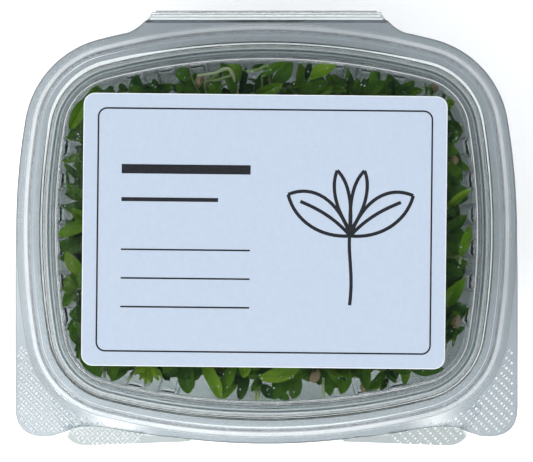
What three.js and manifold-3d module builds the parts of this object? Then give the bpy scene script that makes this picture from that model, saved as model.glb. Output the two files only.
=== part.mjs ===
// Cilantro microgreens in a clear hinged clamshell.
// Units are millimetres, +Z is up, and the hinge is on the +Y side.
// The origin is under the middle of the whole thing, on the surface that it stands on.
import * as THREE from 'three';
import { mergeVertices } from 'three/addons/utils/BufferGeometryUtils.js';
import Module from 'manifold-3d';

const wasm = await Module();
wasm.setup();

// Driving dimensions: the plan of the lid's raised panel, which every other outline is offset from
const panelHalfX = 59.0;
const panelHalfY = 48.2;
const sideArcRadius = 180;
const cornerRadius = 15.5;
const planCentreY = -0.9;

// Heights
const sheet = 0.7;
const sheetGap = 0.3;
const trayFlangeZ = 52.0;
const lidFlangeZ = trayFlangeZ + sheet + sheetGap;
const beadRise = 2.6;
const panelTopZ = 66.0;
const wallTopZ = 49.4;
const wallFootZ = 2.5;
const panelRecess = 1.2;

// Offsets from the panel's outline
const flangeOffset = 12.9;
const plateInnerOffset = 11.2;
const wallTopOffset = 2.6;
const wallFootOffset = -7.2;
const domeFootOffset = 2.5;
const domeHeadOffset = -0.3;
const domeFootZ = lidFlangeZ - 1.5;

// Moulded ribs in the tray's wall
const ribDepth = 1.2;
const ribHalfFoot = 2.85;
const ribHalfFace = 1.75;
const ribTopZ = 46.5;
const ribsOnSides = [-24.4, -14.6, -4.85, 4.85, 14.6, 24.4];
const ribsAtBack = [-38.4, -29.2, -20.0, 20.0, 29.2, 38.4];
const ribsInFront = [-38.0, -28.6, 28.6, 38.0];

// The hinge behind the flanges
const hingeHalfLength = 33.5;
const hingeTubeY = 61.4;
const hingeTubeRadius = 1.5;
const hingeBackY = 63.5;

// The paper label
const labelX = 101.6;
const labelY = 76.2;
const labelThickness = 0.25;
const labelCorner = 3.2;
const labelTurn = -0.6;
const labelShiftX = -0.6;
const labelLift = 0.05;

// The greens
const wallClearance = 0.45;
const bladeThickness = 0.9;
const stemRadius = 0.62;
const huskRadius = 1.75;
const huskSocket = 0.3;

// Where a leaf shows beside the label, it is placed from the picture it was modelled after.
// These turn its picture places into millimetres from the plan's centre.
const pictureCentreX = 266.5;
const pictureCentreY = 231;
const pixelsPerMm = 3.53;

// Solids from geometries, and back
const closePoints = 1e-5;
const readPoints = 1e-3;

function solidOf(geometry, tolerance = closePoints) {
  geometry.deleteAttribute('normal');
  geometry.deleteAttribute('uv');
  const merged = mergeVertices(geometry, tolerance);
  return new wasm.Manifold(new wasm.Mesh({
    numProp: 3,
    vertProperties: new Float32Array(merged.attributes.position.array),
    triVerts: new Uint32Array(merged.index.array),
  }));
}

function geometryOf(solid) {
  const mesh = solid.getMesh();
  const geometry = new THREE.BufferGeometry();
  geometry.setAttribute('position', new THREE.BufferAttribute(new Float32Array(mesh.vertProperties), 3));
  geometry.setIndex(new THREE.BufferAttribute(new Uint32Array(mesh.triVerts), 1));
  geometry.computeVertexNormals();
  return geometry;
}

function unionOf(solids) {
  return wasm.Manifold.union(solids);
}

// One body with no loose scrap and no sealed hollow, once its points are read to a thousandth
function oneBody(solid) {
  let pieces = solid.decompose();
  for (let pass = 0; pass < 4; pass++) {
    pieces.sort((a, b) => b.volume() - a.volume());
    pieces = solidOf(geometryOf(pieces[0]), readPoints).decompose();
    if (pieces.length === 1) {
      break;
    }
  }
  return pieces.sort((a, b) => b.volume() - a.volume())[0];
}

// Turns a list of equal rings into a closed surface with a fan at each end
function loftGeometry(rings) {
  const count = rings[0].length;
  const points = rings.flat();
  const middle = (ring) => ring.reduce((sum, p) => sum.add(p), new THREE.Vector3()).divideScalar(count);
  points.push(middle(rings[0]), middle(rings[rings.length - 1]));
  const index = [];
  const firstMiddle = points.length - 2;
  const lastStart = (rings.length - 1) * count;
  for (let j = 0; j < count; j++) {
    const next = (j + 1) % count;
    for (let i = 0; i + 1 < rings.length; i++) {
      const low = i * count;
      const high = low + count;
      index.push(low + j, low + next, high + next, low + j, high + next, high + j);
    }
    index.push(firstMiddle, next, j);
    index.push(firstMiddle + 1, lastStart + j, lastStart + next);
  }
  return facetedGeometry(points, index);
}

function facetedGeometry(points, index) {
  const places = points.flatMap((p) => [p.x, p.y, p.z]);
  const geometry = new THREE.BufferGeometry();
  geometry.setAttribute('position', new THREE.Float32BufferAttribute(places, 3));
  geometry.setIndex(index);
  return geometry;
}

// The container's plan: bulged sides joined by round corners, all offset from one outline
const sideCentre = new THREE.Vector2(panelHalfX - sideArcRadius, 0);
const endCentre = new THREE.Vector2(0, panelHalfY - sideArcRadius);
const cornerCentre = cornerCentreOf();
const sideAngle = Math.atan2(cornerCentre.y - sideCentre.y, cornerCentre.x - sideCentre.x);
const endAngle = Math.atan2(cornerCentre.y - endCentre.y, cornerCentre.x - endCentre.x);

function cornerCentreOf() {
  const reach = sideArcRadius - cornerRadius;
  const middle = sideCentre.clone().add(endCentre).multiplyScalar(0.5);
  const across = endCentre.clone().sub(sideCentre);
  const out = new THREE.Vector2(-across.y, across.x).normalize();
  const height = Math.sqrt(reach * reach - across.lengthSq() / 4);
  return middle.add(out.multiplyScalar(height));
}

function arcPoints(centre, radius, from, to, steps) {
  return Array.from({ length: steps }, (_, k) => {
    const angle = from + ((to - from) * k) / steps;
    const normal = new THREE.Vector2(Math.cos(angle), Math.sin(angle));
    return { at: normal.clone().multiplyScalar(radius).add(centre), normal };
  });
}

function quarterOutline(sideSteps, cornerSteps, endSteps) {
  return [
    ...arcPoints(sideCentre, sideArcRadius, 0, sideAngle, sideSteps),
    ...arcPoints(cornerCentre, cornerRadius, sideAngle, endAngle, cornerSteps),
    ...arcPoints(endCentre, sideArcRadius, endAngle, Math.PI / 2, endSteps),
  ];
}

function outlineOf(sideSteps, cornerSteps, endSteps) {
  const quarter = quarterOutline(sideSteps, cornerSteps, endSteps);
  const top = { at: new THREE.Vector2(0, panelHalfY), normal: new THREE.Vector2(0, 1) };
  const half = [...quarter, top];
  const flip = (p, sx, sy) => ({
    at: new THREE.Vector2(p.at.x * sx, p.at.y * sy),
    normal: new THREE.Vector2(p.normal.x * sx, p.normal.y * sy),
  });
  const left = half.slice(0, -1).reverse().map((p) => flip(p, -1, 1));
  const upper = [...half, ...left];
  const lower = upper.slice(1, -1).reverse().map((p) => flip(p, 1, -1));
  return [...upper, ...lower];
}

const shellOutline = outlineOf(2, 4, 3);
const pileOutline = outlineOf(2, 2, 3);

function ringAt(outline, offset, z, scale = 1) {
  return outline.map((p) => new THREE.Vector3(
    (p.at.x + p.normal.x * offset) * scale,
    (p.at.y + p.normal.y * offset) * scale,
    z,
  ));
}

// How far a plan point lies outside the panel's outline, negative inside it
function offsetOf(x, y) {
  const p = new THREE.Vector2(Math.abs(x), Math.abs(y));
  const fromSide = p.clone().sub(sideCentre);
  const fromEnd = p.clone().sub(endCentre);
  if (Math.atan2(fromSide.y, fromSide.x) <= sideAngle && p.x >= cornerCentre.x - 1) {
    return fromSide.length() - sideArcRadius;
  }
  if (Math.atan2(fromEnd.y, fromEnd.x) >= endAngle && p.y >= cornerCentre.y - 1) {
    return fromEnd.length() - sideArcRadius;
  }
  if (p.x > cornerCentre.x && p.y > cornerCentre.y) {
    return p.sub(cornerCentre).length() - cornerRadius;
  }
  return Math.max(fromSide.length(), fromEnd.length()) - sideArcRadius;
}

function wallOffsetAt(z) {
  const share = (z - wallFootZ) / (wallTopZ - wallFootZ);
  return wallFootOffset + (wallTopOffset - wallFootOffset) * share;
}

// A shell from one profile of [offset, z] pairs that runs out along one face and back along the other
function shellOf(profile) {
  return solidOf(loftGeometry(profile.map(([offset, z]) => ringAt(shellOutline, offset, z))));
}

function prismOf(offset, lowZ, highZ) {
  return solidOf(loftGeometry([ringAt(shellOutline, offset, lowZ), ringAt(shellOutline, offset, highZ)]));
}

function plateOf(shape, z) {
  const geometry = new THREE.ExtrudeGeometry(shape, { depth: sheet, bevelEnabled: false, curveSegments: 6 });
  geometry.translate(0, 0, z);
  return solidOf(geometry);
}

// Plates round the flange: the finger tabs in front and the stretch that meets the hinge
function lidTabShape(side) {
  const shape = new THREE.Shape();
  shape.moveTo(side * 71.6, 6);
  shape.lineTo(side * 72.1, -10);
  shape.lineTo(side * 72.1, -50.8);
  shape.quadraticCurveTo(side * 72.1, -59.0, side * 63.8, -59.0);
  shape.bezierCurveTo(side * 57.5, -59.0, side * 58.0, -56.2, side * 51.5, -56.1);
  shape.bezierCurveTo(side * 46.0, -56.0, side * 38.0, -58.2, side * 28.0, -59.2);
  shape.lineTo(side * 28.0, -50.0);
  shape.lineTo(side * 55.0, -20.0);
  return shape;
}

function trayTabShape(side) {
  const shape = new THREE.Shape();
  shape.moveTo(side * 62.5, -50.0);
  shape.lineTo(side * 57.8, -58.6);
  shape.quadraticCurveTo(side * 56.3, -61.7, side * 51.8, -61.7);
  shape.lineTo(side * 22.0, -60.6);
  shape.lineTo(side * 22.0, -50.0);
  shape.lineTo(side * 50.0, -40.0);
  return shape;
}

function hingePlateShape() {
  const shape = new THREE.Shape();
  const endY = hingeTubeY - hingeTubeRadius + sheet;
  shape.moveTo(44.5, 55.2);
  shape.bezierCurveTo(38.5, 57.2, 37.0, 58.0, 34.6, endY);
  shape.lineTo(-34.6, endY);
  shape.bezierCurveTo(-37.0, 58.0, -38.5, 57.2, -44.5, 55.2);
  shape.lineTo(-40.0, 45.0);
  shape.lineTo(40.0, 45.0);
  return shape;
}

// One half of the tube that stiffens the hinge: up on the lid, down on the tray
function hingeTube(z, up) {
  const shape = new THREE.Shape();
  shape.absarc(hingeTubeY, 0, hingeTubeRadius, 0, Math.PI, false);
  shape.absarc(hingeTubeY, 0, hingeTubeRadius - sheet, Math.PI, 0, true);
  const geometry = new THREE.ExtrudeGeometry(shape, {
    depth: 2 * hingeHalfLength, bevelEnabled: false, curveSegments: 8,
  });
  geometry.translate(0, 0, -hingeHalfLength);
  geometry.applyMatrix4(new THREE.Matrix4().makeBasis(
    new THREE.Vector3(0, 1, 0), new THREE.Vector3(0, 0, 1), new THREE.Vector3(1, 0, 0),
  ));
  const tube = solidOf(geometry);
  return (up ? tube : tube.rotate([0, 180, 0])).translate([0, 0, z]);
}

function flangePlates(shapes, z) {
  const core = prismOf(plateInnerOffset, z - 5, z + 5);
  return unionOf(shapes.map((shape) => plateOf(shape, z))).subtract(core);
}

// The tray
function ribPlaces() {
  const places = [];
  const plan = (x, y, normal) => places.push({ at: new THREE.Vector2(x, y), normal });
  for (const side of [-1, 1]) {
    for (const y of ribsOnSides) {
      const x = sideCentre.x + Math.sqrt(sideArcRadius ** 2 - y ** 2);
      plan(side * x, y, new THREE.Vector2((side * (x - sideCentre.x)) / sideArcRadius, y / sideArcRadius));
    }
  }
  for (const [end, row] of [[1, ribsAtBack], [-1, ribsInFront]]) {
    for (const x of row) {
      const y = endCentre.y + Math.sqrt(sideArcRadius ** 2 - x ** 2);
      plan(x, end * y, new THREE.Vector2(x / sideArcRadius, (end * (y - endCentre.y)) / sideArcRadius));
    }
  }
  return places;
}

function ribPrism(place, faceShift, footShift, topZ) {
  const along = new THREE.Vector2(-place.normal.y, place.normal.x);
  const section = (z) => [
    [ribHalfFoot, footShift], [ribHalfFace, faceShift], [-ribHalfFace, faceShift], [-ribHalfFoot, footShift],
  ].map(([across, shift]) => {
    const p = place.at.clone()
      .addScaledVector(place.normal, wallOffsetAt(z) + shift)
      .addScaledVector(along, across);
    return new THREE.Vector3(p.x, p.y, z);
  });
  return solidOf(loftGeometry([section(-1), section(topZ)]));
}

function makeTray() {
  const outer = shellOf([
    [-13.7, panelRecess], [-12.5, 0], [-8.7, 0], [-6.6, 1.9],
    [wallTopOffset + sheet, wallTopZ - 0.4], [5.3, 49.4], [5.7, 50.0], [6.3, 54.6], [7.3, 54.6],
    [9.6, trayFlangeZ], [flangeOffset, trayFlangeZ],
    [flangeOffset, trayFlangeZ + sheet], [10.1, trayFlangeZ + sheet], [7.7, 55.3],
  ]);
  const cavity = shellOf([
    [-13.2, panelRecess + sheet], [-12.0, sheet], [-9.0, sheet], [wallFootOffset, wallFootZ],
    [wallTopOffset, wallTopZ], [4.6, 50.0], [5.0, 50.5], [5.6, 55.3], [5.7, 58.0],
  ]);
  const places = ribPlaces();
  const channelOf = (place) => ribPrism(place, sheet - ribDepth, sheet + 1.5, ribTopZ - sheet);
  const channels = unionOf(places.map(channelOf));
  const ribs = unionOf(places.map((place) => ribPrism(place, -ribDepth, 0.3, ribTopZ)));
  const shell = outer.subtract(channels).subtract(cavity.subtract(ribs));
  const plates = flangePlates([trayTabShape(-1), trayTabShape(1), hingePlateShape()], trayFlangeZ);
  return unionOf([shell, plates, hingeTube(trayFlangeZ + sheet, false)]);
}

// The lid
function makeLid() {
  const beadTopZ = lidFlangeZ + sheet + beadRise;
  const shell = shellOf([
    [domeHeadOffset - 0.6, panelTopZ - sheet], [domeHeadOffset, panelTopZ - 1.3],
    [domeFootOffset, domeFootZ], [4.65, domeFootZ], [5.2, beadTopZ - sheet], [8.2, beadTopZ - sheet],
    [10.6, lidFlangeZ], [flangeOffset, lidFlangeZ],
    [flangeOffset, lidFlangeZ + sheet], [10.9, lidFlangeZ + sheet], [8.7, beadTopZ - 0.2], [8.2, beadTopZ],
    [4.6, beadTopZ], [3.95, domeFootZ + sheet], [domeFootOffset + sheet, domeFootZ + sheet],
    [domeHeadOffset + sheet, panelTopZ - 0.7], [0, panelTopZ - 0.2], [-0.6, panelTopZ],
  ]);
  const plates = flangePlates([lidTabShape(-1), lidTabShape(1), hingePlateShape()], lidFlangeZ);
  return unionOf([shell, plates, hingeTube(lidFlangeZ, true)]);
}

// The thin strip that folds between the two halves of the hinge tube
function makeHingeStrip() {
  const shape = new THREE.Shape();
  const middleZ = (trayFlangeZ + sheet + lidFlangeZ) / 2;
  shape.moveTo(hingeBackY - 0.5, -0.7);
  shape.quadraticCurveTo(hingeBackY, -0.6, hingeBackY, 0);
  shape.quadraticCurveTo(hingeBackY, 0.6, hingeBackY - 0.5, 0.7);
  const geometry = new THREE.ExtrudeGeometry(shape, {
    depth: 2 * hingeHalfLength, bevelEnabled: false, curveSegments: 4,
  });
  geometry.translate(0, 0, -hingeHalfLength);
  geometry.applyMatrix4(new THREE.Matrix4().makeBasis(
    new THREE.Vector3(0, 1, 0), new THREE.Vector3(0, 0, 1), new THREE.Vector3(1, 0, 0),
  ));
  return solidOf(geometry).translate([0, 0, middleZ]);
}

// The label: a plain card with round corners, stuck on the lid a little askew
function makeLabel() {
  const shape = new THREE.Shape();
  const [x, y, r] = [labelX / 2, labelY / 2, labelCorner];
  shape.absarc(x - r, y - r, r, 0, Math.PI / 2, false);
  shape.absarc(-x + r, y - r, r, Math.PI / 2, Math.PI, false);
  shape.absarc(-x + r, -y + r, r, Math.PI, 1.5 * Math.PI, false);
  shape.absarc(x - r, -y + r, r, 1.5 * Math.PI, 2 * Math.PI, false);
  const geometry = new THREE.ExtrudeGeometry(shape, {
    depth: labelThickness, bevelEnabled: false, curveSegments: 6,
  });
  return solidOf(geometry);
}

// The greens: six handfuls, each a dark tangle that stems and leaves stand out of
let seed = 1;
function random() {
  seed = (Math.imul(seed, 1664525) + 1013904223) >>> 0;
  return seed / 4294967296;
}

function between(low, high) {
  return low + (high - low) * random();
}

// The widest offset that a leaf may reach at a height, clear of the ribs and the lid's dome
function roomAt(z) {
  const tray = wallOffsetAt(Math.min(z, wallTopZ - 1)) - ribDepth;
  const share = (z - domeFootZ) / (panelTopZ - 1.3 - domeFootZ);
  const dome = domeFootOffset + (domeHeadOffset - domeFootOffset) * Math.max(0, share);
  return Math.min(tray, dome) - wallClearance;
}

const floorZ = panelRecess + sheet + wallClearance;
const ceilingZ = panelTopZ - sheet - wallClearance;
const tangleSide = [[2.8, -13.5], [7, -12.6], [20, -9.8], [34, -8.0], [44, -7.6], [50, -9.2], [54.5, -12.0]];
const tangleTop = [[56.8, -13.5, 0.86], [58.2, -13.5, 0.52]];

function tangleOffsetAt(z) {
  for (let k = 0; k + 1 < tangleSide.length; k++) {
    const [lowZ, low] = tangleSide[k];
    const [highZ, high] = tangleSide[k + 1];
    if (z <= highZ) {
      return low + ((high - low) * (z - lowZ)) / (highZ - lowZ);
    }
  }
  return tangleSide[tangleSide.length - 1][1];
}

function tangleHeightAt(x, y) {
  const depth = -12 - offsetOf(x, y);
  return 54.5 + 4.0 * Math.min(1, Math.max(0, depth / 26));
}

function makeTangle() {
  seed = tangleSeed;
  const rough = (ring, amount) => ring.map((p) => {
    const swell = 1 + (between(-1, 1) * amount) / Math.hypot(p.x, p.y);
    return new THREE.Vector3(p.x * swell, p.y * swell, p.z + between(-0.5, 0.5) * amount);
  });
  const rings = tangleSide.map(([z, offset], k) => {
    const ring = ringAt(pileOutline, offset, z);
    return k === 0 ? ring : rough(ring, 0.9);
  });
  for (const [z, offset, scale] of tangleTop) {
    rings.push(rough(ringAt(pileOutline, offset, z, scale), 1.0));
  }
  return solidOf(loftGeometry(rings));
}

// The handfuls' cells in plan: two rows, each cut where no leaf crosses
const rowBorderY = 5.1;
const cellGap = 0.3;
const backBorders = [-20.5, 26.3];
const frontBorders = [-25.9, 25.4];
const backSeeds = [18, 22, 21];
const frontSeeds = [23, 19, 17];
const tangleSeed = 7;
const far = 90;

function cells() {
  const rows = [
    { name: 'back', low: rowBorderY, high: far, borders: backBorders, seeds: backSeeds },
    { name: 'front', low: -far, high: rowBorderY, borders: frontBorders, seeds: frontSeeds },
  ];
  const columns = ['left', 'middle', 'right'];
  return rows.flatMap((row) => columns.map((column, k) => ({
    name: `handful_${row.name}_${column}`,
    seed: row.seeds[k],
    lowX: k === 0 ? -far : row.borders[k - 1] + cellGap / 2,
    highX: k === 2 ? far : row.borders[k] - cellGap / 2,
    lowY: row.low + cellGap / 2,
    highY: row.high - cellGap / 2,
  })));
}

function cellBox(cell) {
  const box = new THREE.BoxGeometry(cell.highX - cell.lowX, cell.highY - cell.lowY, 2 * far);
  box.translate((cell.lowX + cell.highX) / 2, (cell.lowY + cell.highY) / 2, 0);
  return solidOf(box);
}

function fits(points, cell) {
  return points.every((p) => p.x > cell.lowX && p.x < cell.highX && p.y > cell.lowY && p.y < cell.highY
    && p.z > floorZ && p.z < ceilingZ && offsetOf(p.x, p.y) < roomAt(p.z));
}

// A seed leaf: a lens-shaped blade on a narrow foot, with its foot sunk in the tangle
const bladeSections = [[0.26, 0.76], [0.66, 1.0]];

function bladePoints(leaf) {
  const along = leaf.tip.clone().sub(leaf.base);
  const length = along.length();
  along.divideScalar(length);
  const across = new THREE.Vector3().crossVectors(leaf.face, along).normalize();
  const up = new THREE.Vector3().crossVectors(along, across);
  const points = [leaf.root];
  for (const [share, wide] of bladeSections) {
    const middle = leaf.base.clone().addScaledVector(along, length * share);
    middle.addScaledVector(up, leaf.arch * 4 * share * (1 - share));
    const edge = middle.clone().addScaledVector(up, leaf.cup * wide);
    points.push(
      edge.clone().addScaledVector(across, (leaf.width / 2) * wide),
      middle.clone().addScaledVector(up, bladeThickness / 2),
      edge.clone().addScaledVector(across, (-leaf.width / 2) * wide),
      middle.clone().addScaledVector(up, -bladeThickness / 2),
    );
  }
  points.push(leaf.tip);
  return points;
}

function bladeSolid(points) {
  const index = [];
  const last = points.length - 1;
  for (let side = 0; side < 4; side++) {
    const next = (side + 1) % 4;
    index.push(0, 1 + next, 1 + side);
    for (let k = 0; k + 1 < bladeSections.length; k++) {
      const low = 1 + 4 * k;
      const high = low + 4;
      const [edge, ridge] = side % 2 === 0 ? [side, next] : [next, side];
      const faces = [[low + edge, high + ridge, high + edge], [low + edge, low + ridge, high + ridge]];
      index.push(...faces.flatMap((face) => (side % 2 === 0 ? face : face.reverse())));
    }
    index.push(last, last - 4 + side, last - 4 + next);
  }
  return closedSolid(points, index);
}

function closedSolid(points, index) {
  return solidOf(facetedGeometry(points, index));
}

// The first true leaf: a fan of three toothed lobes
const fanTeeth = [0.35, 0.86, 0.66, 0.98, 0.6, 1.0, 0.74, 1.06, 0.6, 1.0, 0.66, 0.86, 0.35];
const fanSpread = 2.5;

function fanSolid(leaf) {
  const along = leaf.tip.clone().sub(leaf.base);
  const length = along.length();
  along.divideScalar(length);
  const across = new THREE.Vector3().crossVectors(leaf.face, along).normalize();
  const up = new THREE.Vector3().crossVectors(along, across);
  const rim = fanTeeth.map((reach, k) => {
    const angle = fanSpread * (k / (fanTeeth.length - 1) - 0.5);
    return leaf.base.clone()
      .addScaledVector(along, length * reach * Math.cos(angle))
      .addScaledVector(across, length * reach * Math.sin(angle));
  });
  const heart = leaf.base.clone().addScaledVector(along, length * 0.3);
  const points = [
    leaf.root, ...rim,
    heart.clone().addScaledVector(up, bladeThickness / 2),
    heart.clone().addScaledVector(up, -bladeThickness / 2),
  ];
  const count = rim.length + 1;
  const index = [];
  for (let k = 0; k < count; k++) {
    const next = (k + 1) % count;
    index.push(count, k, next, count + 1, next, k);
  }
  return { points, solid: closedSolid(points, index) };
}

// A stem: a three-sided tube along a list of points
function stemSolid(path, radius) {
  const sides = 3;
  const rings = path.map((p, k) => {
    const ahead = path[Math.min(k + 1, path.length - 1)].clone().sub(path[Math.max(k - 1, 0)]).normalize();
    const across = new THREE.Vector3().crossVectors(ahead, new THREE.Vector3(0.1, 0.2, 1)).normalize();
    const up = new THREE.Vector3().crossVectors(across, ahead);
    return Array.from({ length: sides }, (_, s) => {
      const angle = (2 * Math.PI * s) / sides;
      return p.clone()
        .addScaledVector(across, radius * Math.cos(angle))
        .addScaledVector(up, radius * Math.sin(angle));
    });
  });
  const solid = solidOf(loftGeometry(rings));
  const turnedOut = solid.volume() > 0 ? solid : solidOf(loftGeometry(rings.reverse()));
  return { points: rings.flat(), solid: turnedOut };
}

// Leaves beside the label, each [base x, base y, tip x, tip y, width, level] in picture places.
// Level 0 lies deep and dark, 1 in between, 2 on top and bright, 3 on top and yellowish.
const shownLeaves = [
  [80, 104, 98, 83, 12, 3], [82, 103, 66, 131, 14, 3], [84, 142, 71, 129, 8, 1], [85, 153, 62, 161, 9, 2],
  [86, 184, 63, 163, 8, 1], [67, 184, 67, 168, 4, 1], [84, 186, 54, 182, 5.5, 2], [86, 200, 67, 188, 13, 2],
  [88, 205, 54, 206, 9.5, 1], [90, 223, 57, 236, 14, 3], [86, 238, 61, 252, 14, 1],
  [86, 276, 65.5, 252, 15, 3], [76, 288, 62, 307, 12, 2], [82, 292, 80, 323, 9, 1],
  [84, 344, 74, 318, 15, 1], [80, 345, 104, 378, 15, 2],
  [108, 371, 141, 366, 14, 1], [188, 362, 188, 395, 18, 1], [203, 360, 222, 399, 15, 3],
  [236, 362, 218, 398, 13, 2], [243, 372, 219, 403, 13, 2], [248, 372, 239, 403, 12, 0],
  [243.5, 355, 243.8, 378, 14, 3], [262, 364, 250, 380, 10, 1], [300, 366, 259, 378, 18, 3],
  [262, 380, 251, 392, 9, 1], [258, 386, 283, 398, 14, 0], [274, 378, 290, 403, 12, 1],
  [296, 372, 294, 404, 15, 1], [312, 366, 289, 381, 13, 1], [318, 364, 339, 388.5, 15, 1],
  [347, 366, 341, 395, 14, 1], [363, 362, 361, 381, 9, 0], [384, 370, 367, 390, 10, 1],
  [388, 372, 372, 396, 9, 2], [389, 380, 381, 393, 7, 0], [412, 366, 390, 376, 10, 0],
  [406, 362, 407, 389.5, 10, 2], [410, 370, 444, 369, 13, 1], [447, 224, 457, 258.5, 10, 1],
  [459, 258, 470, 225, 10.5, 2], [444, 262, 457.5, 259, 9, 0], [445, 284, 461.5, 266, 8, 1],
  [446, 306, 460, 281, 15, 2], [456, 302, 462, 284, 6, 0], [444, 309, 481, 320, 15, 3],
  [446, 338, 454, 327, 8, 0], [458, 327, 453.5, 348.5, 4.5, 1], [448, 106, 455, 121, 5, 1],
  [446, 122, 464, 133, 13, 1], [456, 132, 454.5, 144, 6, 2], [449, 135, 451.5, 155, 6, 1],
  [454, 146, 463, 166, 8, 1], [449, 180, 462, 180, 9, 1], [446, 184, 464, 192, 12, 0],
  [447, 208, 470, 189, 9, 3], [448, 222, 460, 229, 8, 0], [128, 90, 118, 84, 8, 1],
  [152, 93, 141, 84, 11, 0], [160, 95, 148, 83, 6, 2], [157, 93, 153, 78, 9, 1], [155, 92, 172, 84, 13, 1],
  [191, 77, 175, 73, 16, 2], [191, 90, 175, 86, 8, 0], [236, 83, 229, 55, 16, 3], [240, 85, 246, 66, 8, 0],
  [225, 71, 220, 62, 4, 1], [272, 66, 251, 67, 6, 1], [262, 77, 290, 60, 9, 2], [272, 84, 292, 60, 15, 2],
  [297, 92, 301, 59, 12, 3], [309, 80, 311, 60, 8, 0], [309, 80, 337, 65, 14, 3], [296, 94, 328, 82, 15, 2],
  [254, 95, 283, 84, 12, 3], [238, 92, 254, 84, 12, 0], [346, 84, 348, 66, 4.5, 1], [350, 88, 336, 80, 12, 0],
  [332, 92, 347, 90, 9, 2], [344, 95, 356, 86, 11, 0], [365.5, 96, 365, 77, 8, 1],
  [383, 90, 375, 76.5, 6, 1], [372, 96, 380, 84, 8, 0], [384, 82, 390, 92, 6, 0], [397, 97, 412, 83.5, 11, 1],
  [410, 96, 423, 90, 9, 2], [426, 96, 425, 83, 4, 2], [433, 96, 430, 84, 4.5, 1], [443, 99, 442, 90, 4, 1],
  [100, 92, 112, 85, 7, 0],
];
// Toothed true leaves and loose stems in the same places and levels
const shownFans = [[79, 289, 66, 275, 0, 2], [150, 364, 145, 383, 0, 3], [446, 104, 455, 102, 0, 2]];
const shownStems = [
  [104, 364, 104, 378, 1], [134, 371, 127.5, 381.5, 1], [153, 365, 147.5, 385.5, 1],
  [156, 365, 162, 379.5, 1], [255, 386, 255.5, 401, 1], [259, 386, 257.5, 401, 1],
  [323.5, 368, 323.5, 398, 1], [458, 256, 462, 266, 1],
  [457, 130, 462, 123.6, 1], [231, 71, 197, 76, 2], [205, 85, 231, 75.5, 2], [207, 82, 218, 74, 1],
  [269, 68.5, 246.5, 71.5, 2],
];
// Seed husks, each [x, y, height in millimetres]
const shownHusks = [
  [456.7, 322, 57.5], [315, 376.3, 59.5], [366, 386.3, 57.0],
  [199, 81, 57.5], [454, 161, 57.5], [436, 86, 53.0],
];

function planOf(x, y) {
  return [(x - pictureCentreX) / pixelsPerMm, (pictureCentreY - y) / pixelsPerMm];
}

const levelHeights = [55.5, 58.0, 60.2, 61.0];

function rootOf(base) {
  const root = base.clone();
  for (let step = 0; step < 60 && offsetOf(root.x, root.y) > -15; step++) {
    root.multiply(new THREE.Vector3(0.985, 0.985, 1));
  }
  root.z = Math.min(base.z - 1.5, 53.5);
  return root;
}

function shownLeaf([baseX, baseY, tipX, tipY, width, level]) {
  const [x0, y0] = planOf(baseX, baseY);
  const [x1, y1] = planOf(tipX, tipY);
  const height = levelHeights[level];
  const base = new THREE.Vector3(x0, y0, height - between(0.4, 1.6));
  const tip = new THREE.Vector3(x1, y1, height + between(-1.6, 1.0));
  const face = new THREE.Vector3(between(-0.35, 0.35), between(-0.35, 0.35), 1).normalize();
  const leaf = { base, tip, root: rootOf(base), face, width: width / pixelsPerMm, level };
  leaf.arch = between(0.2, 1.2);
  leaf.cup = between(0.1, 0.5);
  return leaf;
}

// Lowers a leaf until it clears the lid's dome
function settle(leaf, pointsOf, cell) {
  for (let step = 0; step < 24; step++) {
    const points = pointsOf(leaf);
    if (fits(points, cell)) {
      return true;
    }
    leaf.tip.z -= 0.7;
    leaf.base.z -= 0.35;
    leaf.root.z -= 0.35;
    if (step > 10) {
      leaf.tip.lerp(leaf.base, 0.04);
    }
  }
  return false;
}

function inCell(point, cell) {
  return point.x > cell.lowX && point.x < cell.highX && point.y > cell.lowY && point.y < cell.highY;
}

// A leaf drawn by chance on the tangle's top or side
function strayLeaf(cell, onTop) {
  const leaf = { level: Math.floor(between(0, 4)) };
  const spin = between(0, 2 * Math.PI);
  const length = between(11, 15);
  let normal;
  if (onTop) {
    const x = between(Math.max(cell.lowX, -50), Math.min(cell.highX, 50));
    const y = between(Math.max(cell.lowY, -40), Math.min(cell.highY, 40));
    if (offsetOf(x, y) > -13) {
      return null;
    }
    normal = new THREE.Vector3(0, 0, 1);
    leaf.base = new THREE.Vector3(x, y, tangleHeightAt(x, y) + 0.4);
  } else {
    const place = pileOutline[Math.floor(between(0, pileOutline.length))];
    const z = between(7, 50);
    const slip = between(-6, 6);
    const offset = tangleOffsetAt(z) + 0.2;
    normal = new THREE.Vector3(place.normal.x, place.normal.y, 0);
    leaf.base = new THREE.Vector3(
      place.at.x + place.normal.x * offset - place.normal.y * slip,
      place.at.y + place.normal.y * offset + place.normal.x * slip,
      z,
    );
  }
  const first = Math.abs(normal.z) > 0.5 ? new THREE.Vector3(1, 0, 0) : new THREE.Vector3(0, 0, 1);
  const second = new THREE.Vector3().crossVectors(normal, first);
  const heading = first.clone().multiplyScalar(Math.cos(spin)).addScaledVector(second, Math.sin(spin));
  const lift = between(0.05, 0.26);
  leaf.tip = leaf.base.clone().addScaledVector(heading, length).addScaledVector(normal, length * lift);
  leaf.root = leaf.base.clone().addScaledVector(heading, -2).addScaledVector(normal, -2.6);
  leaf.face = normal.clone().addScaledVector(second, between(-0.3, 0.3)).normalize();
  leaf.width = between(4.2, 5.6);
  leaf.arch = between(0.1, 0.8);
  leaf.cup = between(0.1, 0.5);
  return leaf;
}

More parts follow.
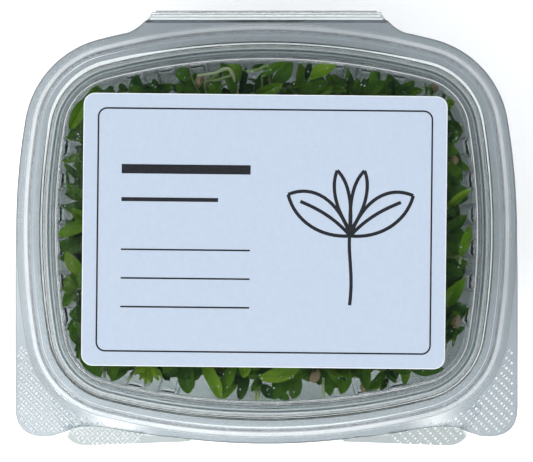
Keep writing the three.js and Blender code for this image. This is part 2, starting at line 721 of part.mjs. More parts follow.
function strayStem(cell) {
  const place = pileOutline[Math.floor(between(0, pileOutline.length))];
  const turn = between(-0.9, 0.9);
  const length = between(18, 30);
  const lowZ = between(6, 30);
  const path = [-0.3, 0, 0.35, 0.7, 1, 1.3].map((share) => {
    const sunk = share < 0 || share > 1;
    const z = lowZ + length * Math.min(1, Math.max(0, share)) * Math.cos(turn);
    const slip = length * (share - 0.5) * Math.sin(turn);
    const offset = tangleOffsetAt(z) + (sunk ? -3.5 : 0.9);
    return new THREE.Vector3(
      place.at.x + place.normal.x * offset - place.normal.y * slip,
      place.at.y + place.normal.y * offset + place.normal.x * slip,
      z,
    );
  });
  const made = stemSolid(path, stemRadius);
  return fits(made.points, cell) ? made.solid : null;
}

function shownPieces(cell) {
  const solids = [];
  for (const row of shownLeaves) {
    const leaf = shownLeaf(row);
    if (inCell(leaf.tip, cell) && settle(leaf, bladePoints, cell)) {
      solids.push(bladeSolid(bladePoints(leaf)));
    }
  }
  for (const row of shownFans) {
    const leaf = shownLeaf(row);
    if (inCell(leaf.tip, cell) && settle(leaf, (one) => fanSolid(one).points, cell)) {
      solids.push(fanSolid(leaf).solid);
    }
  }
  for (const [x0, y0, x1, y1, level] of shownStems) {
    const leaf = shownLeaf([x0, y0, x1, y1, 4, level]);
    const pathOf = (one) => [one.root, one.base, one.base.clone().lerp(one.tip, 0.5), one.tip];
    if (inCell(leaf.tip, cell) && settle(leaf, (one) => stemSolid(pathOf(one), stemRadius).points, cell)) {
      solids.push(stemSolid(pathOf(leaf), stemRadius).solid);
    }
  }
  return solids;
}

function makeHusk() {
  const geometry = new THREE.IcosahedronGeometry(huskRadius, 1);
  geometry.scale(1, 1, 1.08);
  return solidOf(geometry);
}

function huskPlaces() {
  return shownHusks.map(([x, y, z]) => [...planOf(x, y), z]);
}

const straysOnTop = 6;
const straysOnSides = 7;
const stemsOnSides = 4;

function makeHandful(cell, tangle, husks) {
  seed = cell.seed;
  const solids = [tangle.intersect(cellBox(cell)), ...shownPieces(cell)];
  const scatter = (wanted, draw) => {
    for (let made = 0, tries = 0; made < wanted && tries < 400; tries++) {
      const solid = draw();
      if (solid) {
        solids.push(solid);
        made += 1;
      }
    }
  };
  const leafSolid = (onTop) => () => {
    const leaf = strayLeaf(cell, onTop);
    if (!leaf || !fits([leaf.root, leaf.base], cell)) {
      return null;
    }
    const points = bladePoints(leaf);
    return fits(points, cell) ? bladeSolid(points) : null;
  };
  scatter(straysOnTop, leafSolid(true));
  scatter(straysOnSides, leafSolid(false));
  scatter(stemsOnSides, () => strayStem(cell));
  const socketOf = (place) => makeHusk().scale(1 + huskSocket / huskRadius).translate(place);
  return oneBody(unionOf(solids).subtract(unionOf(husks.map(socketOf))));
}

// Materials
const clearPlastic = { color: 0xd5dcde, roughness: 0.12, metalness: 0, transparent: true, opacity: 0.35 };
const paper = { color: 0xdde5f3, roughness: 0.55, metalness: 0 };
const leafGreen = { color: 0x3f7016, roughness: 0.45, metalness: 0 };
const tanHusk = { color: 0xb49a6c, roughness: 0.85, metalness: 0 };

function meshOf(name, solid, look) {
  const mesh = new THREE.Mesh(geometryOf(solid), new THREE.MeshStandardMaterial(look));
  mesh.name = name;
  return mesh;
}

function build() {
  const clamshell = new THREE.Group();
  clamshell.position.y = planCentreY;
  clamshell.add(meshOf('tray', makeTray(), clearPlastic));
  clamshell.add(meshOf('lid', makeLid(), clearPlastic));
  clamshell.add(meshOf('hinge_strip', makeHingeStrip(), clearPlastic));
  const label = meshOf('label', makeLabel(), paper);
  label.position.set(labelShiftX, 0, panelTopZ + labelLift);
  label.rotation.z = THREE.MathUtils.degToRad(labelTurn);
  clamshell.add(label);
  const tangle = makeTangle();
  const husks = huskPlaces();
  for (const cell of cells()) {
    clamshell.add(meshOf(cell.name, makeHandful(cell, tangle, husks), leafGreen));
  }
  husks.forEach((place, k) => {
    const husk = meshOf(`seed_husk_${k + 1}`, makeHusk(), tanHusk);
    husk.position.set(...place);
    clamshell.add(husk);
  });
  return clamshell;
}

const microgreens = new THREE.Group();
microgreens.add(build());
export default microgreens;
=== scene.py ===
# Cilantro microgreens in a clear hinged clamshell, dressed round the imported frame.
# Lengths are worked out in millimetres in the plan's own frame and handed to Blender in metres.
import math

import bmesh
import bpy
from mathutils import Matrix, Vector


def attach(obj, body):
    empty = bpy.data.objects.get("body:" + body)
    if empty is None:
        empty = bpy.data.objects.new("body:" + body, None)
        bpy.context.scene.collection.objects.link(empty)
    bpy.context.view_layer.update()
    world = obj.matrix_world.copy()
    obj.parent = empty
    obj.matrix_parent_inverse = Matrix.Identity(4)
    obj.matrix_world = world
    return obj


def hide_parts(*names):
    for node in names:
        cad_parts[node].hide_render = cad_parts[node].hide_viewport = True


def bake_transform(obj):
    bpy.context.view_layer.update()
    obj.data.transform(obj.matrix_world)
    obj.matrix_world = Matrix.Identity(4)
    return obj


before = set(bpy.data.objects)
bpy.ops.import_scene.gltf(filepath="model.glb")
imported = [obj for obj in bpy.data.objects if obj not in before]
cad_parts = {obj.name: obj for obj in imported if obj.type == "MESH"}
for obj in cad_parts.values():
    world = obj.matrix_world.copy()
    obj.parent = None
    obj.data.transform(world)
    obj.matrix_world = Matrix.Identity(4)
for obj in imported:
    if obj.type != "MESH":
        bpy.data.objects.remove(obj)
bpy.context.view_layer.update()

# Scale and the plan of the lid's raised panel, which every other outline is offset from
MM = 0.001
PANEL_HALF_X = 59.0
PANEL_HALF_Y = 48.2
SIDE_ARC = 180.0
CORNER = 15.5
PLAN_CENTRE_Y = -0.9

# Heights and sheet
HALF_SHEET = 0.28
TRAY_FLANGE_Z = 52.35
LID_FLANGE_Z = 53.35
PANEL_TOP_Z = 66.0
FLANGE_OFFSET = 12.9

# The tray's wall and its moulded ribs
WALL_FOOT = (-6.9, 2.2)
WALL_TOP = (2.95, 49.2)
RIB_DEPTH = 1.2
RIB_HALF_FOOT = 2.85
RIB_HALF_FACE = 1.75
RIB_TOP_Z = 46.5
RIBS_ON_SIDES = (-24.4, -14.6, -4.85, 4.85, 14.6, 24.4)
RIBS_AT_BACK = (-38.4, -29.2, -20.0, 20.0, 29.2, 38.4)
RIBS_IN_FRONT = (-38.0, -28.6, 28.6, 38.0)

# Hinge
HINGE_HALF = 33.5
HINGE_TUBE_Y = 61.4
HINGE_TUBE_R = 1.5
HINGE_END_SLANT = 0.0175

# Label
LABEL_X = 101.6
LABEL_Y = 76.2
LABEL_CORNER = 3.2
LABEL_TURN = math.radians(-0.6)
LABEL_SHIFT_X = -0.6
LABEL_LIFT = 0.05
LABEL_THICK = 0.25
PRINT_STEP = 0.002

# Picture places of the leaves beside the label
PICTURE_CENTRE = (266.5, 231.0)
PIXELS_PER_MM = 3.53


class Plan:
    """The bulged, round-cornered outline and its offsets."""

    def __init__(self):
        self.side = Vector((PANEL_HALF_X - SIDE_ARC, 0.0))
        self.end = Vector((0.0, PANEL_HALF_Y - SIDE_ARC))
        reach = SIDE_ARC - CORNER
        across = self.end - self.side
        out = Vector((-across.y, across.x)).normalized()
        height = math.sqrt(reach ** 2 - across.length_squared / 4)
        self.corner = (self.side + self.end) / 2 + out * height
        self.side_angle = math.atan2(self.corner.y - self.side.y, self.corner.x - self.side.x)
        self.end_angle = math.atan2(self.corner.y - self.end.y, self.corner.x - self.end.x)

    def offset_of(self, x, y):
        """How far a place lies outside the panel's outline, negative inside it."""
        p = Vector((abs(x), abs(y)))
        from_side = p - self.side
        from_end = p - self.end
        if math.atan2(from_side.y, from_side.x) <= self.side_angle and p.x >= self.corner.x - 1:
            return from_side.length - SIDE_ARC
        if math.atan2(from_end.y, from_end.x) >= self.end_angle and p.y >= self.corner.y - 1:
            return from_end.length - SIDE_ARC
        if p.x > self.corner.x and p.y > self.corner.y:
            return (p - self.corner).length - CORNER
        return max(from_side.length, from_end.length) - SIDE_ARC

    def arc(self, centre, radius, angles):
        return [(centre + radius * Vector((math.cos(a), math.sin(a))), Vector((math.cos(a), math.sin(a))))
                for a in angles]

    def outline(self, side_places, end_places, corner_steps):
        """Points with normals, counterclockwise from +X. Places are lengths along the side and end arcs."""
        side_end = SIDE_ARC * self.side_angle
        end_start = SIDE_ARC * (math.pi / 2 - self.end_angle)
        side = [s for s in side_places if -side_end + 0.4 < s < side_end - 0.4]
        ends = [s for s in end_places if -end_start + 0.4 < s < end_start - 0.4]
        quarter_corner = [self.side_angle + (self.end_angle - self.side_angle) * k / corner_steps
                          for k in range(corner_steps + 1)]
        right = self.arc(self.side, SIDE_ARC, [s / SIDE_ARC for s in side])
        top = self.arc(self.end, SIDE_ARC, [math.pi / 2 - s / SIDE_ARC for s in reversed(ends)])
        corner = self.arc(self.corner, CORNER, quarter_corner)

        def mirrored(points, sx, sy):
            return [(Vector((p.x * sx, p.y * sy)), Vector((n.x * sx, n.y * sy))) for p, n in points]

        back = lambda points: list(reversed(points))
        return (right + corner + top + back(mirrored(corner, -1, 1)) + back(mirrored(right, -1, 1))
                + mirrored(corner, -1, -1) + back(mirrored(top, 1, -1)) + back(mirrored(corner, 1, -1)))


plan = Plan()


def wall_offset(z):
    share = (z - 2.5) / (49.4 - 2.5)
    return -7.2 + 9.8 * share


# Mesh making
def to_world(point):
    return (point[0] * MM, (point[1] + PLAN_CENTRE_Y) * MM, point[2] * MM)


def set_values(obj, name, values):
    """One number for each of the mesh's points, for the material to read."""
    obj.data.attributes.new(name, "FLOAT", "POINT").data.foreach_set("value", values)


def add_mesh(name, verts, faces, material, smooth_angle=math.radians(40), recalc=True):
    mesh = bpy.data.meshes.new(name)
    mesh.from_pydata([to_world(v) for v in verts], [], faces)
    if recalc:
        bm = bmesh.new()
        bm.from_mesh(mesh)
        bmesh.ops.recalc_face_normals(bm, faces=bm.faces)
        bm.to_mesh(mesh)
        bm.free()
    mesh.validate()
    mesh.shade_smooth()
    mesh.set_sharp_from_angle(angle=smooth_angle)
    mesh.materials.append(material)
    obj = bpy.data.objects.new(name, mesh)
    bpy.context.scene.collection.objects.link(obj)
    return obj


def steps_round(count):
    """Each place on a closed ring with the next one."""
    return [(j, (j + 1) % count) for j in range(count)]


def ring_faces(rings, count):
    """The quads between closed rings that lie one after another."""
    return [(i * count + j, i * count + k, (i + 1) * count + k, (i + 1) * count + j)
            for i in range(rings - 1) for j, k in steps_round(count)]


def end_faces(rings, count):
    """One face over the first ring and one over the last."""
    return [tuple(range(count)), tuple(reversed(range((rings - 1) * count, rings * count)))]


def turned(face):
    return tuple(reversed(face))


def join_parts(parts):
    """Several (verts, faces) lists as one."""
    verts, faces = [], []
    for part_verts, part_faces in parts:
        start = len(verts)
        verts.extend(part_verts)
        faces.extend([tuple(start + i for i in face) for face in part_faces])
    return verts, faces


# Materials
class Shading:
    """The nodes of a material or of the world, with short ways to add to them."""

    def __init__(self, owner):
        owner.use_nodes = True
        self.owner = owner
        self.nodes = owner.node_tree.nodes
        self.link = owner.node_tree.links.new

    def feed(self, node, values):
        """Gives inputs, by name or number, a value or another node's output."""
        for key, value in values.items():
            if isinstance(value, bpy.types.NodeSocket):
                self.link(value, node.inputs[key])
            else:
                node.inputs[key].default_value = value
        return node

    def add(self, kind, values):
        return self.feed(self.nodes.new("ShaderNode" + kind), values)

    def coords(self, kind="Object"):
        return self.nodes.new("ShaderNodeTexCoord").outputs[kind]

    def parts(self, vector):
        return self.add("SeparateXYZ", {"Vector": vector}).outputs

    def attribute(self, name, output="Fac"):
        node = self.nodes.new("ShaderNodeAttribute")
        node.attribute_name = name
        return node.outputs[output]

    def noise(self, scale, detail=3.0, roughness=0.55):
        inputs = {"Scale": scale, "Detail": detail, "Roughness": roughness, "Vector": self.coords()}
        return self.add("TexNoise", inputs).outputs["Fac"]

    def ramp(self, value, stops):
        node = self.add("ValToRGB", {"Fac": value})
        elements = node.color_ramp.elements
        while len(elements) < len(stops):
            elements.new(0.5)
        for element, (place, colour) in zip(elements, stops):
            element.position = place
            element.color = (*colour, 1.0)
        return node.outputs["Color"]

    def math(self, operation, *values):
        node = self.nodes.new("ShaderNodeMath")
        node.operation = operation
        return self.feed(node, dict(enumerate(values))).outputs["Value"]

    def bump(self, height, strength, distance):
        inputs = {"Strength": strength, "Distance": distance, "Height": height}
        return self.add("Bump", inputs).outputs["Normal"]

    def mix(self, share, first, second):
        node = self.nodes.new("ShaderNodeMix")
        node.data_type = "RGBA"
        return self.feed(node, {"Factor": share, "A": first, "B": second}).outputs["Result"]

    def finish(self, values):
        self.feed(self.nodes["Principled BSDF"], values)
        return self.owner

    def finish_clear(self, values):
        """As finish, and with a faint shadow, as a thin clear sheet has."""
        through = self.add("BsdfTransparent", {"Color": (0.86, 0.88, 0.885, 1.0)})
        shadow = self.nodes.new("ShaderNodeLightPath").outputs["Is Shadow Ray"]
        solid = self.nodes["Principled BSDF"].outputs["BSDF"]
        mix = self.add("MixShader", {"Fac": shadow, 1: solid, 2: through.outputs["BSDF"]})
        self.feed(self.nodes["Material Output"], {"Surface": mix.outputs["Shader"]})
        return self.finish(values)


def new_look(name):
    return Shading(bpy.data.materials.new(name))


def grey(value):
    return (value, value, value)


LID_TINT = (0.385, 0.425, 0.45)
TRAY_TINT = (0.605, 0.655, 0.65)
THIN_AND_HIGHLIGHT_TINT = (0.97, 0.98, 0.985)
EVEN_TONE = 0.5
THICK_AND_SHADE_SHARE = 0.3
PLASTIC_IOR = 1.5


def clear_plastic(name, tint):
    """Clear sheet with faint forming waves. Its colour follows the tone: towards 1 pale, for thin drawn sheet
    and for painted highlight lines; towards 0 dark, for gathered sheet and for painted shade lines.
    """
    look = new_look(name)
    thick_and_shade = tuple(THICK_AND_SHADE_SHARE * share for share in tint)
    waves = look.noise(90.0, 2.0)
    grain = look.noise(900.0, 2.0)
    relief = look.math("MULTIPLY_ADD", grain, 0.12, waves)
    # The pale end stands for thin sheet and painted highlight, the dark end for gathered sheet and painted
    # shade
    tones = [(0.0, thick_and_shade), (EVEN_TONE, tint), (1.0, THIN_AND_HIGHLIGHT_TINT)]
    return look.finish_clear({
        "Base Color": look.ramp(look.attribute("tone"), tones),
        "Roughness": look.ramp(grain, [(0.35, grey(0.03)), (0.8, grey(0.12))]),
        "Normal": look.bump(relief, 0.25, 0.0006),
        "Transmission Weight": 1.0,
        "IOR": PLASTIC_IOR,
    })


def frosted_and_highlight_plastic():
    """The grip's small ridges, which scatter light and look white, partly a painted highlight for their
    glints; also the lid's painted highlight strips.
    """
    look = new_look("grip_and_highlight_plastic")
    grain = look.noise(1200.0, 2.0)
    return look.finish_clear({
        "Base Color": look.ramp(grain, [(0.3, (0.86, 0.89, 0.90)), (0.7, (0.97, 0.985, 0.98))]),
        "Roughness": 0.3,
        "Normal": look.bump(grain, 0.2, 0.0002),
        "Transmission Weight": 0.25,
        "IOR": PLASTIC_IOR,
    })


def water_material():
    look = new_look("water")
    # The drops' near-white colour is a painted highlight for the light they catch
    grain = look.noise(800.0, 2.0)
    return look.finish_clear({
        "Base Color": look.ramp(grain, [(0.3, (0.84, 0.90, 0.90)), (0.7, (0.97, 0.98, 0.98))]),
        "Roughness": 0.05,
        "Transmission Weight": 0.6,
        "IOR": 1.33,
    })


def label_paper():
    """Paper with a faint cool fibre, and a paler bevelled edge, a painted highlight."""
    look = new_look("label_paper")
    fibre = look.noise(700.0, 4.0, 0.65)
    tone = look.ramp(fibre, [(0.3, (0.437, 0.508, 0.615)), (0.7, (0.468, 0.536, 0.64))])
    slope = look.parts(look.coords("Normal"))["Z"]
    # Painted highlight: where the surface slopes away from flat, at the bevel, the paper is paler
    edge = look.ramp(slope, [(0.97, grey(1.0)), (0.995, grey(0.0))])
    return look.finish({
        "Base Color": look.mix(edge, tone, (0.80, 0.83, 0.86, 1.0)),
        "Roughness": 0.5,
        "Normal": look.bump(fibre, 0.12, 0.0002),
        "Specular IOR Level": 0.35,
    })


def label_ink():
    look = new_look("label_ink")
    speck = look.noise(1500.0, 3.0)
    return look.finish({
        "Base Color": look.ramp(speck, [(0.3, (0.010, 0.011, 0.014)), (0.8, (0.022, 0.023, 0.028))]),
        "Roughness": 0.5,
        "Specular IOR Level": 0.2,
    })


LEAF_STOPS = [(0.0, (0.003, 0.012, 0.004)), (0.22, (0.009, 0.035, 0.006)), (0.45, (0.028, 0.088, 0.007)),
              (0.7, (0.068, 0.165, 0.006)), (0.88, (0.13, 0.26, 0.005)), (1.0, (0.21, 0.34, 0.012))]
STEM_STOPS = [(0.0, (0.08, 0.11, 0.04)), (0.4, (0.21, 0.30, 0.10)), (0.75, (0.38, 0.47, 0.21)),
              (1.0, (0.50, 0.50, 0.32))]


def greens_material():
    """Leaves and stems in one, from each point's shade and its place along and across its leaf."""
    look = new_look("greens")
    place = look.parts(look.attribute("leaf_place", "Vector"))
    along, across, stem = place["X"], place["Y"], place["Z"]
    side = look.math("ABSOLUTE", across)
    mottle = look.noise(420.0, 4.0, 0.6)
    fine = look.noise(2600.0, 3.0, 0.6)
    spread = look.math("MULTIPLY_ADD", mottle, 0.34, -0.17)
    value = look.math("ADD", look.attribute("shade"), spread)
    # One half of a leaf is a little lighter, painted light as on a folded leaf, and so is its tip
    half = look.math("MULTIPLY_ADD", across, 0.05, value)
    value = look.math("MULTIPLY_ADD", along, 0.10, half)
    # Midrib: a pale line along the middle, fading to the tip
    rib = look.math("MAXIMUM", look.math("MULTIPLY_ADD", side, -11.0, 1.0), 0.0)
    rib = look.math("MULTIPLY", rib, look.math("MULTIPLY_ADD", along, -0.8, 1.0))
    # Side veins: faint lines that leave the midrib at a slant
    slant = look.math("MULTIPLY_ADD", side, -0.22, along)
    lines = look.math("SINE", look.math("MULTIPLY", slant, 62.0))
    lines = look.math("POWER", look.math("ABSOLUTE", lines), 8.0)
    # Long veins: they leave the foot, follow the leaf's edge and meet at its tip
    long_veins = look.math("COSINE", look.math("MULTIPLY", across, 3 * math.pi))
    long_veins = look.math("POWER", look.math("ABSOLUTE", long_veins), 14.0)
    lines = look.math("MULTIPLY_ADD", lines, 0.5, long_veins)
    veins = look.math("MULTIPLY_ADD", lines, 0.4, rib)
    leaf_tone = look.ramp(look.math("MULTIPLY_ADD", veins, 0.13, value), LEAF_STOPS)
    relief = look.math("MULTIPLY_ADD", veins, -0.8, fine)
    return look.finish({
        "Base Color": look.mix(stem, leaf_tone, look.ramp(value, STEM_STOPS)),
        "Roughness": look.ramp(mottle, [(0.3, grey(0.34)), (0.75, grey(0.52))]),
        "Normal": look.bump(relief, 0.35, 0.00012),
        "Specular IOR Level": 0.16,
        "Subsurface Weight": 0.12,
        "Subsurface Radius": (0.4, 0.9, 0.15),
        "Subsurface Scale": 0.001,
    })


def heart_material():
    look = new_look("greens_heart")
    mottle = look.noise(260.0, 6.0, 0.7)
    # Near-black greens: painted shade for the heap's inside
    tones = [(0.3, (0.003, 0.008, 0.003)), (0.5, (0.010, 0.030, 0.008)), (0.72, (0.03, 0.075, 0.015))]
    return look.finish({
        "Base Color": look.ramp(mottle, tones),
        "Roughness": 0.7,
        "Normal": look.bump(mottle, 1.0, 0.002),
    })


def husk_material():
    look = new_look("seed_husk")
    blotch = look.noise(900.0, 5.0, 0.7)
    value = look.math("MULTIPLY_ADD", blotch, 0.6, look.attribute("shade"))
    tones = [(0.2, (0.08, 0.05, 0.024)), (0.5, (0.33, 0.23, 0.12)), (0.9, (0.60, 0.45, 0.26))]
    return look.finish({
        "Base Color": look.ramp(value, tones),
        "Roughness": 0.8,
        "Normal": look.bump(blotch, 0.6, 0.0003),
    })


GLOW = 0.27
GLOW_PER_METRE = (-3.6, -5.2)
LEAST_GLOW = 0.12
MOST_GLOW = 0.7


def floor_material():
    """A painted glow of light in the floor, stronger towards the front and left."""
    look = new_look("floor")
    place = look.parts(look.coords())
    glow = look.math("MULTIPLY_ADD", place["Y"], GLOW_PER_METRE[1], GLOW)
    glow = look.math("MULTIPLY_ADD", place["X"], GLOW_PER_METRE[0], glow)
    return look.finish({
        "Base Color": (0.93, 0.93, 0.935, 1.0),
        "Roughness": 0.75,
        "Emission Strength": look.math("MINIMUM", look.math("MAXIMUM", glow, LEAST_GLOW), MOST_GLOW),
        "Emission Color": (1.0, 1.0, 1.0, 1.0),
    })


# The clear sheets: one middle line each, rounded at its bends, with both faces offset from it
def rounded(points, radius, steps=4):
    """The profile with each bend replaced by a short curve."""
    result = [Vector(points[0])]
    for before, here, after in zip(points, points[1:], points[2:]):
        a, b, c = Vector(before), Vector(here), Vector(after)
        if (b - a).angle(c - b) < math.radians(3):
            result.append(b)
            continue
        reach = min(radius, (b - a).length * 0.45, (c - b).length * 0.45)
        start = b + (a - b).normalized() * reach
        stop = b + (c - b).normalized() * reach
        for k in range(steps + 1):
            t = k / steps
            result.append(start * (1 - t) ** 2 + b * 2 * t * (1 - t) + stop * t ** 2)
    result.append(Vector(points[-1]))
    return result


def faces_of_sheet(middle, half):
    """The upper and lower lines of a sheet, from its middle line."""
    upper, lower = [], []
    for k, p in enumerate(middle):
        ahead = middle[min(k + 1, len(middle) - 1)] - middle[max(k - 1, 0)]
        normal = Vector((-ahead.y, ahead.x)).normalized()
        upper.append(p + normal * half)
        lower.append(p - normal * half)
    return upper, lower


def feature_places(centres, half_length, step, feet):
    """Lengths along an arc, evenly spaced, with close lines at each rib's bends."""
    places = {round(-half_length + k * step, 3) for k in range(int(2 * half_length / step) + 1)}
    for centre in centres:
        places = {p for p in places if abs(p - centre) > feet + 0.6}
        for bend in (RIB_HALF_FOOT, RIB_HALF_FACE):
            for slip in (-0.18, 0.0, 0.18):
                places.update({round(centre + bend + slip, 3), round(centre - bend - slip, 3)})
        places.update({centre - 0.8, centre, centre + 0.8})
    return sorted(places)


def rib_weight(point, normal):
    """1 on a rib's face, 0 off it, for a place on the panel's outline."""
    on_side = abs(normal.x) > abs(normal.y) and abs(point.y) < 34
    on_end = abs(normal.y) > abs(normal.x) and abs(point.x) < 46
    if on_side:
        row, place = RIBS_ON_SIDES, point.y
    elif on_end:
        row, place = (RIBS_AT_BACK if point.y > 0 else RIBS_IN_FRONT), point.x
    else:
        return 0.0
    distance = min(abs(place - centre) for centre in row)
    share = (RIB_HALF_FOOT - distance) / (RIB_HALF_FOOT - RIB_HALF_FACE)
    return min(1.0, max(0.0, share))


def rib_height(z):
    top = min(1.0, max(0.0, (RIB_TOP_Z + 0.25 - z) / 0.5))
    foot = min(1.0, max(0.0, (z - 2.4) / 2.2))
    return top * foot


SIDE_HALF = SIDE_ARC * plan.side_angle
END_HALF = SIDE_ARC * (math.pi / 2 - plan.end_angle)
SHEET_OUTLINE = plan.outline(
    feature_places(RIBS_ON_SIDES, SIDE_HALF, 2.4, RIB_HALF_FOOT),
    feature_places(RIBS_AT_BACK + RIBS_IN_FRONT, END_HALF, 2.4, RIB_HALF_FOOT),
    22,
)


def curve_points(start, commands, steps=14):
    """A polyline through straight runs, quadratic and cubic curves."""
    points = [Vector(start)]
    for command in commands:
        here = points[-1].copy()
        ends = [Vector(p) for p in command]
        if len(ends) == 1:
            points.append(ends[0])
            continue
        for k in range(1, steps + 1):
            t = k / steps
            if len(ends) == 2:
                points.append(here * (1 - t) ** 2 + ends[0] * 2 * t * (1 - t) + ends[1] * t ** 2)
            else:
                points.append(here * (1 - t) ** 3 + ends[0] * 3 * t * (1 - t) ** 2
                              + ends[1] * 3 * t ** 2 * (1 - t) + ends[2] * t ** 3)
    return points


HINGE_EDGE_Y = HINGE_TUBE_Y - HINGE_TUBE_R + 0.7
LID_TAB = curve_points((71.7, 6.0), [
    [(72.1, -10.0)], [(72.1, -50.8)], [(72.1, -59.0), (63.8, -59.0)],
    [(57.5, -59.0), (58.0, -56.2), (51.5, -56.1)], [(46.0, -56.0), (38.0, -58.2), (28.0, -59.2)]])
TRAY_TAB = curve_points((62.5, -50.0), [
    [(57.8, -58.6)], [(56.3, -61.7), (51.8, -61.7)], [(22.0, -60.6)]])
HINGE_PLATE = curve_points((44.5, 55.2), [
    [(38.5, 57.2), (37.0, 58.0), (34.6, HINGE_EDGE_Y)], [(0.0, HINGE_EDGE_Y)]])


def ray_reach(point, normal, line):
    """The furthest crossing of a ray with a polyline."""
    best = 0.0
    for a, b in zip(line, line[1:]):
        edge = b - a
        det = normal.x * -edge.y + edge.x * normal.y
        if abs(det) < 1e-9:
            continue
        diff = a - point
        t = (diff.x * -edge.y + edge.x * diff.y) / det
        s = (normal.x * diff.y - normal.y * diff.x) / det
        if -1e-6 <= s <= 1 + 1e-6 and 8.0 < t < 30.0:
            best = max(best, t)
    return best


def reach_of(tab):
    """How far each outline point's flange runs out."""
    lines = []
    for line in (tab, HINGE_PLATE):
        lines += [line, [Vector((-p.x, p.y)) for p in line]]
    return [max([FLANGE_OFFSET] + [ray_reach(p, n, line) for line in lines]) for p, n in SHEET_OUTLINE]


def with_rows_at(line, places):
    """The profile with a point more at each of the given offsets."""
    result = list(line)
    for place in places:
        for k, (a, b) in enumerate(zip(result, result[1:])):
            if a.x + 0.02 < place < b.x - 0.02:
                result.insert(k + 1, a.lerp(b, (place - a.x) / (b.x - a.x)))
                break
    return result


def tone_at(offset, tones):
    for (low_x, low), (high_x, high) in zip(tones, tones[1:]):
        if offset <= high_x:
            return low + (high - low) * max(0.0, offset - low_x) / (high_x - low_x)
    return tones[-1][1]


FLANGE_START = 11.2
# Rings across the flange, each [share of the way out, inset from its edge]
FLANGE_ROWS = [(0.0, 0.0), (0.12, 0.0), (0.25, 0.0), (0.4, 0.0), (0.55, 0.0), (0.7, 0.0),
               (1.0, 0.32), (1.0, 0.03)]
# The flange's cut edge is darker: painted shade
EDGE_TONE = 0.2


def patch_share(place, patches):
    """How much of the soft round patches reaches a place."""
    return sum(share * math.exp(-((place.x - x) ** 2 + (place.y - y) ** 2) / reach ** 2)
               for x, y, reach, share in patches)


def lofted_sheet(middle_scales, profile, tones, tab, ribbed, cover=None):
    """A closed sheet: the middle fan, its rings out to the flange's edge, round it and back beneath."""
    middle = with_rows_at(rounded(profile, 0.9), [place for place, _ in tones])
    upper, lower = faces_of_sheet(middle, HALF_SHEET)
    edge_z = profile[-1][1]
    flange_start = next(k for k, p in enumerate(middle) if p.x > FLANGE_START)
    reach = reach_of(tab)

    def rows_of(line, dz):
        rows = [(line[0].x, line[0].y, scale, None, 0.0, tones[0][1]) for scale in middle_scales]
        rows += [(p.x, p.y, 1.0, None, 0.0, tone_at(q.x, tones))
                 for p, q in zip(line[:flange_start], middle)]
        rows += [(FLANGE_START, edge_z + dz, 1.0, share, inset, EDGE_TONE if 0 < inset < 0.1 else EVEN_TONE)
                 for share, inset in FLANGE_ROWS]
        return rows

    rows = rows_of(upper, HALF_SHEET)
    rows.append((FLANGE_START, edge_z + HALF_SHEET * 0.5, 1.0, 1.0, 0.0, EDGE_TONE))
    rows.append((FLANGE_START, edge_z - HALF_SHEET * 0.5, 1.0, 1.0, 0.0, EDGE_TONE))
    rows += list(reversed(rows_of(lower, -HALF_SHEET)))
    verts, values = [], []
    for offset, z, scale, share, inset, tone in rows:
        for k, ((p, n), far) in enumerate(zip(SHEET_OUTLINE, reach)):
            d = offset
            here = tone
            if share is not None:
                d = offset + (far - offset) * share - inset
                if cover:
                    here = tones[-1][1] if d < cover[k] - 0.1 else UNCOVERED_TONE
                elif tone == EVEN_TONE:
                    # Painted highlight patches on the flange
                    here += patch_share(p + n * d, PAINTED_FLANGE_PATCHES)
            elif ribbed and scale == 1.0:
                weight = rib_weight(p, n)
                d = offset - RIB_DEPTH * weight * rib_height(z)
                if z < WALL_TOP[1]:
                    # Painted light: the front walls are lighter
                    here += patch_share(p + n * d, PAINTED_LIGHT_FRONT_WALLS)
                # Painted highlight on the rib ledges
                if weight > 0.5 and abs(z - RIB_TOP_Z) < 0.6:
                    here = LEDGE_HIGHLIGHT_TONE
            verts.append(((p.x + n.x * d) * scale, (p.y + n.y * d) * scale, z))
            values.append(here)
    count = len(SHEET_OUTLINE)
    faces = ring_faces(len(rows), count)
    first = len(verts)
    verts.append((0.0, 0.0, rows[0][1]))
    verts.append((0.0, 0.0, rows[-1][1]))
    values += [tones[0][1]] * 2
    last_row = (len(rows) - 1) * count
    for j, k in steps_round(count):
        faces.append((first, k, j))
        faces.append((first + 1, last_row + j, last_row + k))
    return verts, faces, values


def half_tube(z, up):
    """One half of the hinge tube with round ends, as a closed strip."""
    stations = [(-HINGE_HALF - 1.2 + 1.2 * (1 - math.cos(math.pi / 2 * k / 4)), math.sin(math.pi / 2 * k / 4))
                for k in range(5)]
    stations = [(x, max(0.15, s)) for x, s in stations]
    stations += [(-x, s) for x, s in reversed(stations)]
    arc_steps = 12
    outer_inner = [(HINGE_TUBE_R, k) for k in range(arc_steps + 1)]
    outer_inner += [(HINGE_TUBE_R - 2 * HALF_SHEET, k) for k in range(arc_steps, -1, -1)]
    verts = []
    for x, size in stations:
        for radius, k in outer_inner:
            angle = math.pi * k / arc_steps
            height = radius * math.sin(angle) * size
            y = HINGE_TUBE_Y + radius * math.cos(angle)
            slanted = x * (1 - HINGE_END_SLANT * (y - HINGE_TUBE_Y + HINGE_TUBE_R))
            verts.append((slanted, y, z + (height if up else -height)))
    size = len(stations), len(outer_inner)
    return verts, ring_faces(*size) + end_faces(*size)


def inside(point, polygon):
    hit = False
    for a, b in zip(polygon, polygon[1:] + polygon[:1]):
        if (a.y > point.y) != (b.y > point.y):
            if point.x < (b.x - a.x) * (point.y - a.y) / (b.y - a.y) + a.x:
                hit = not hit
    return hit


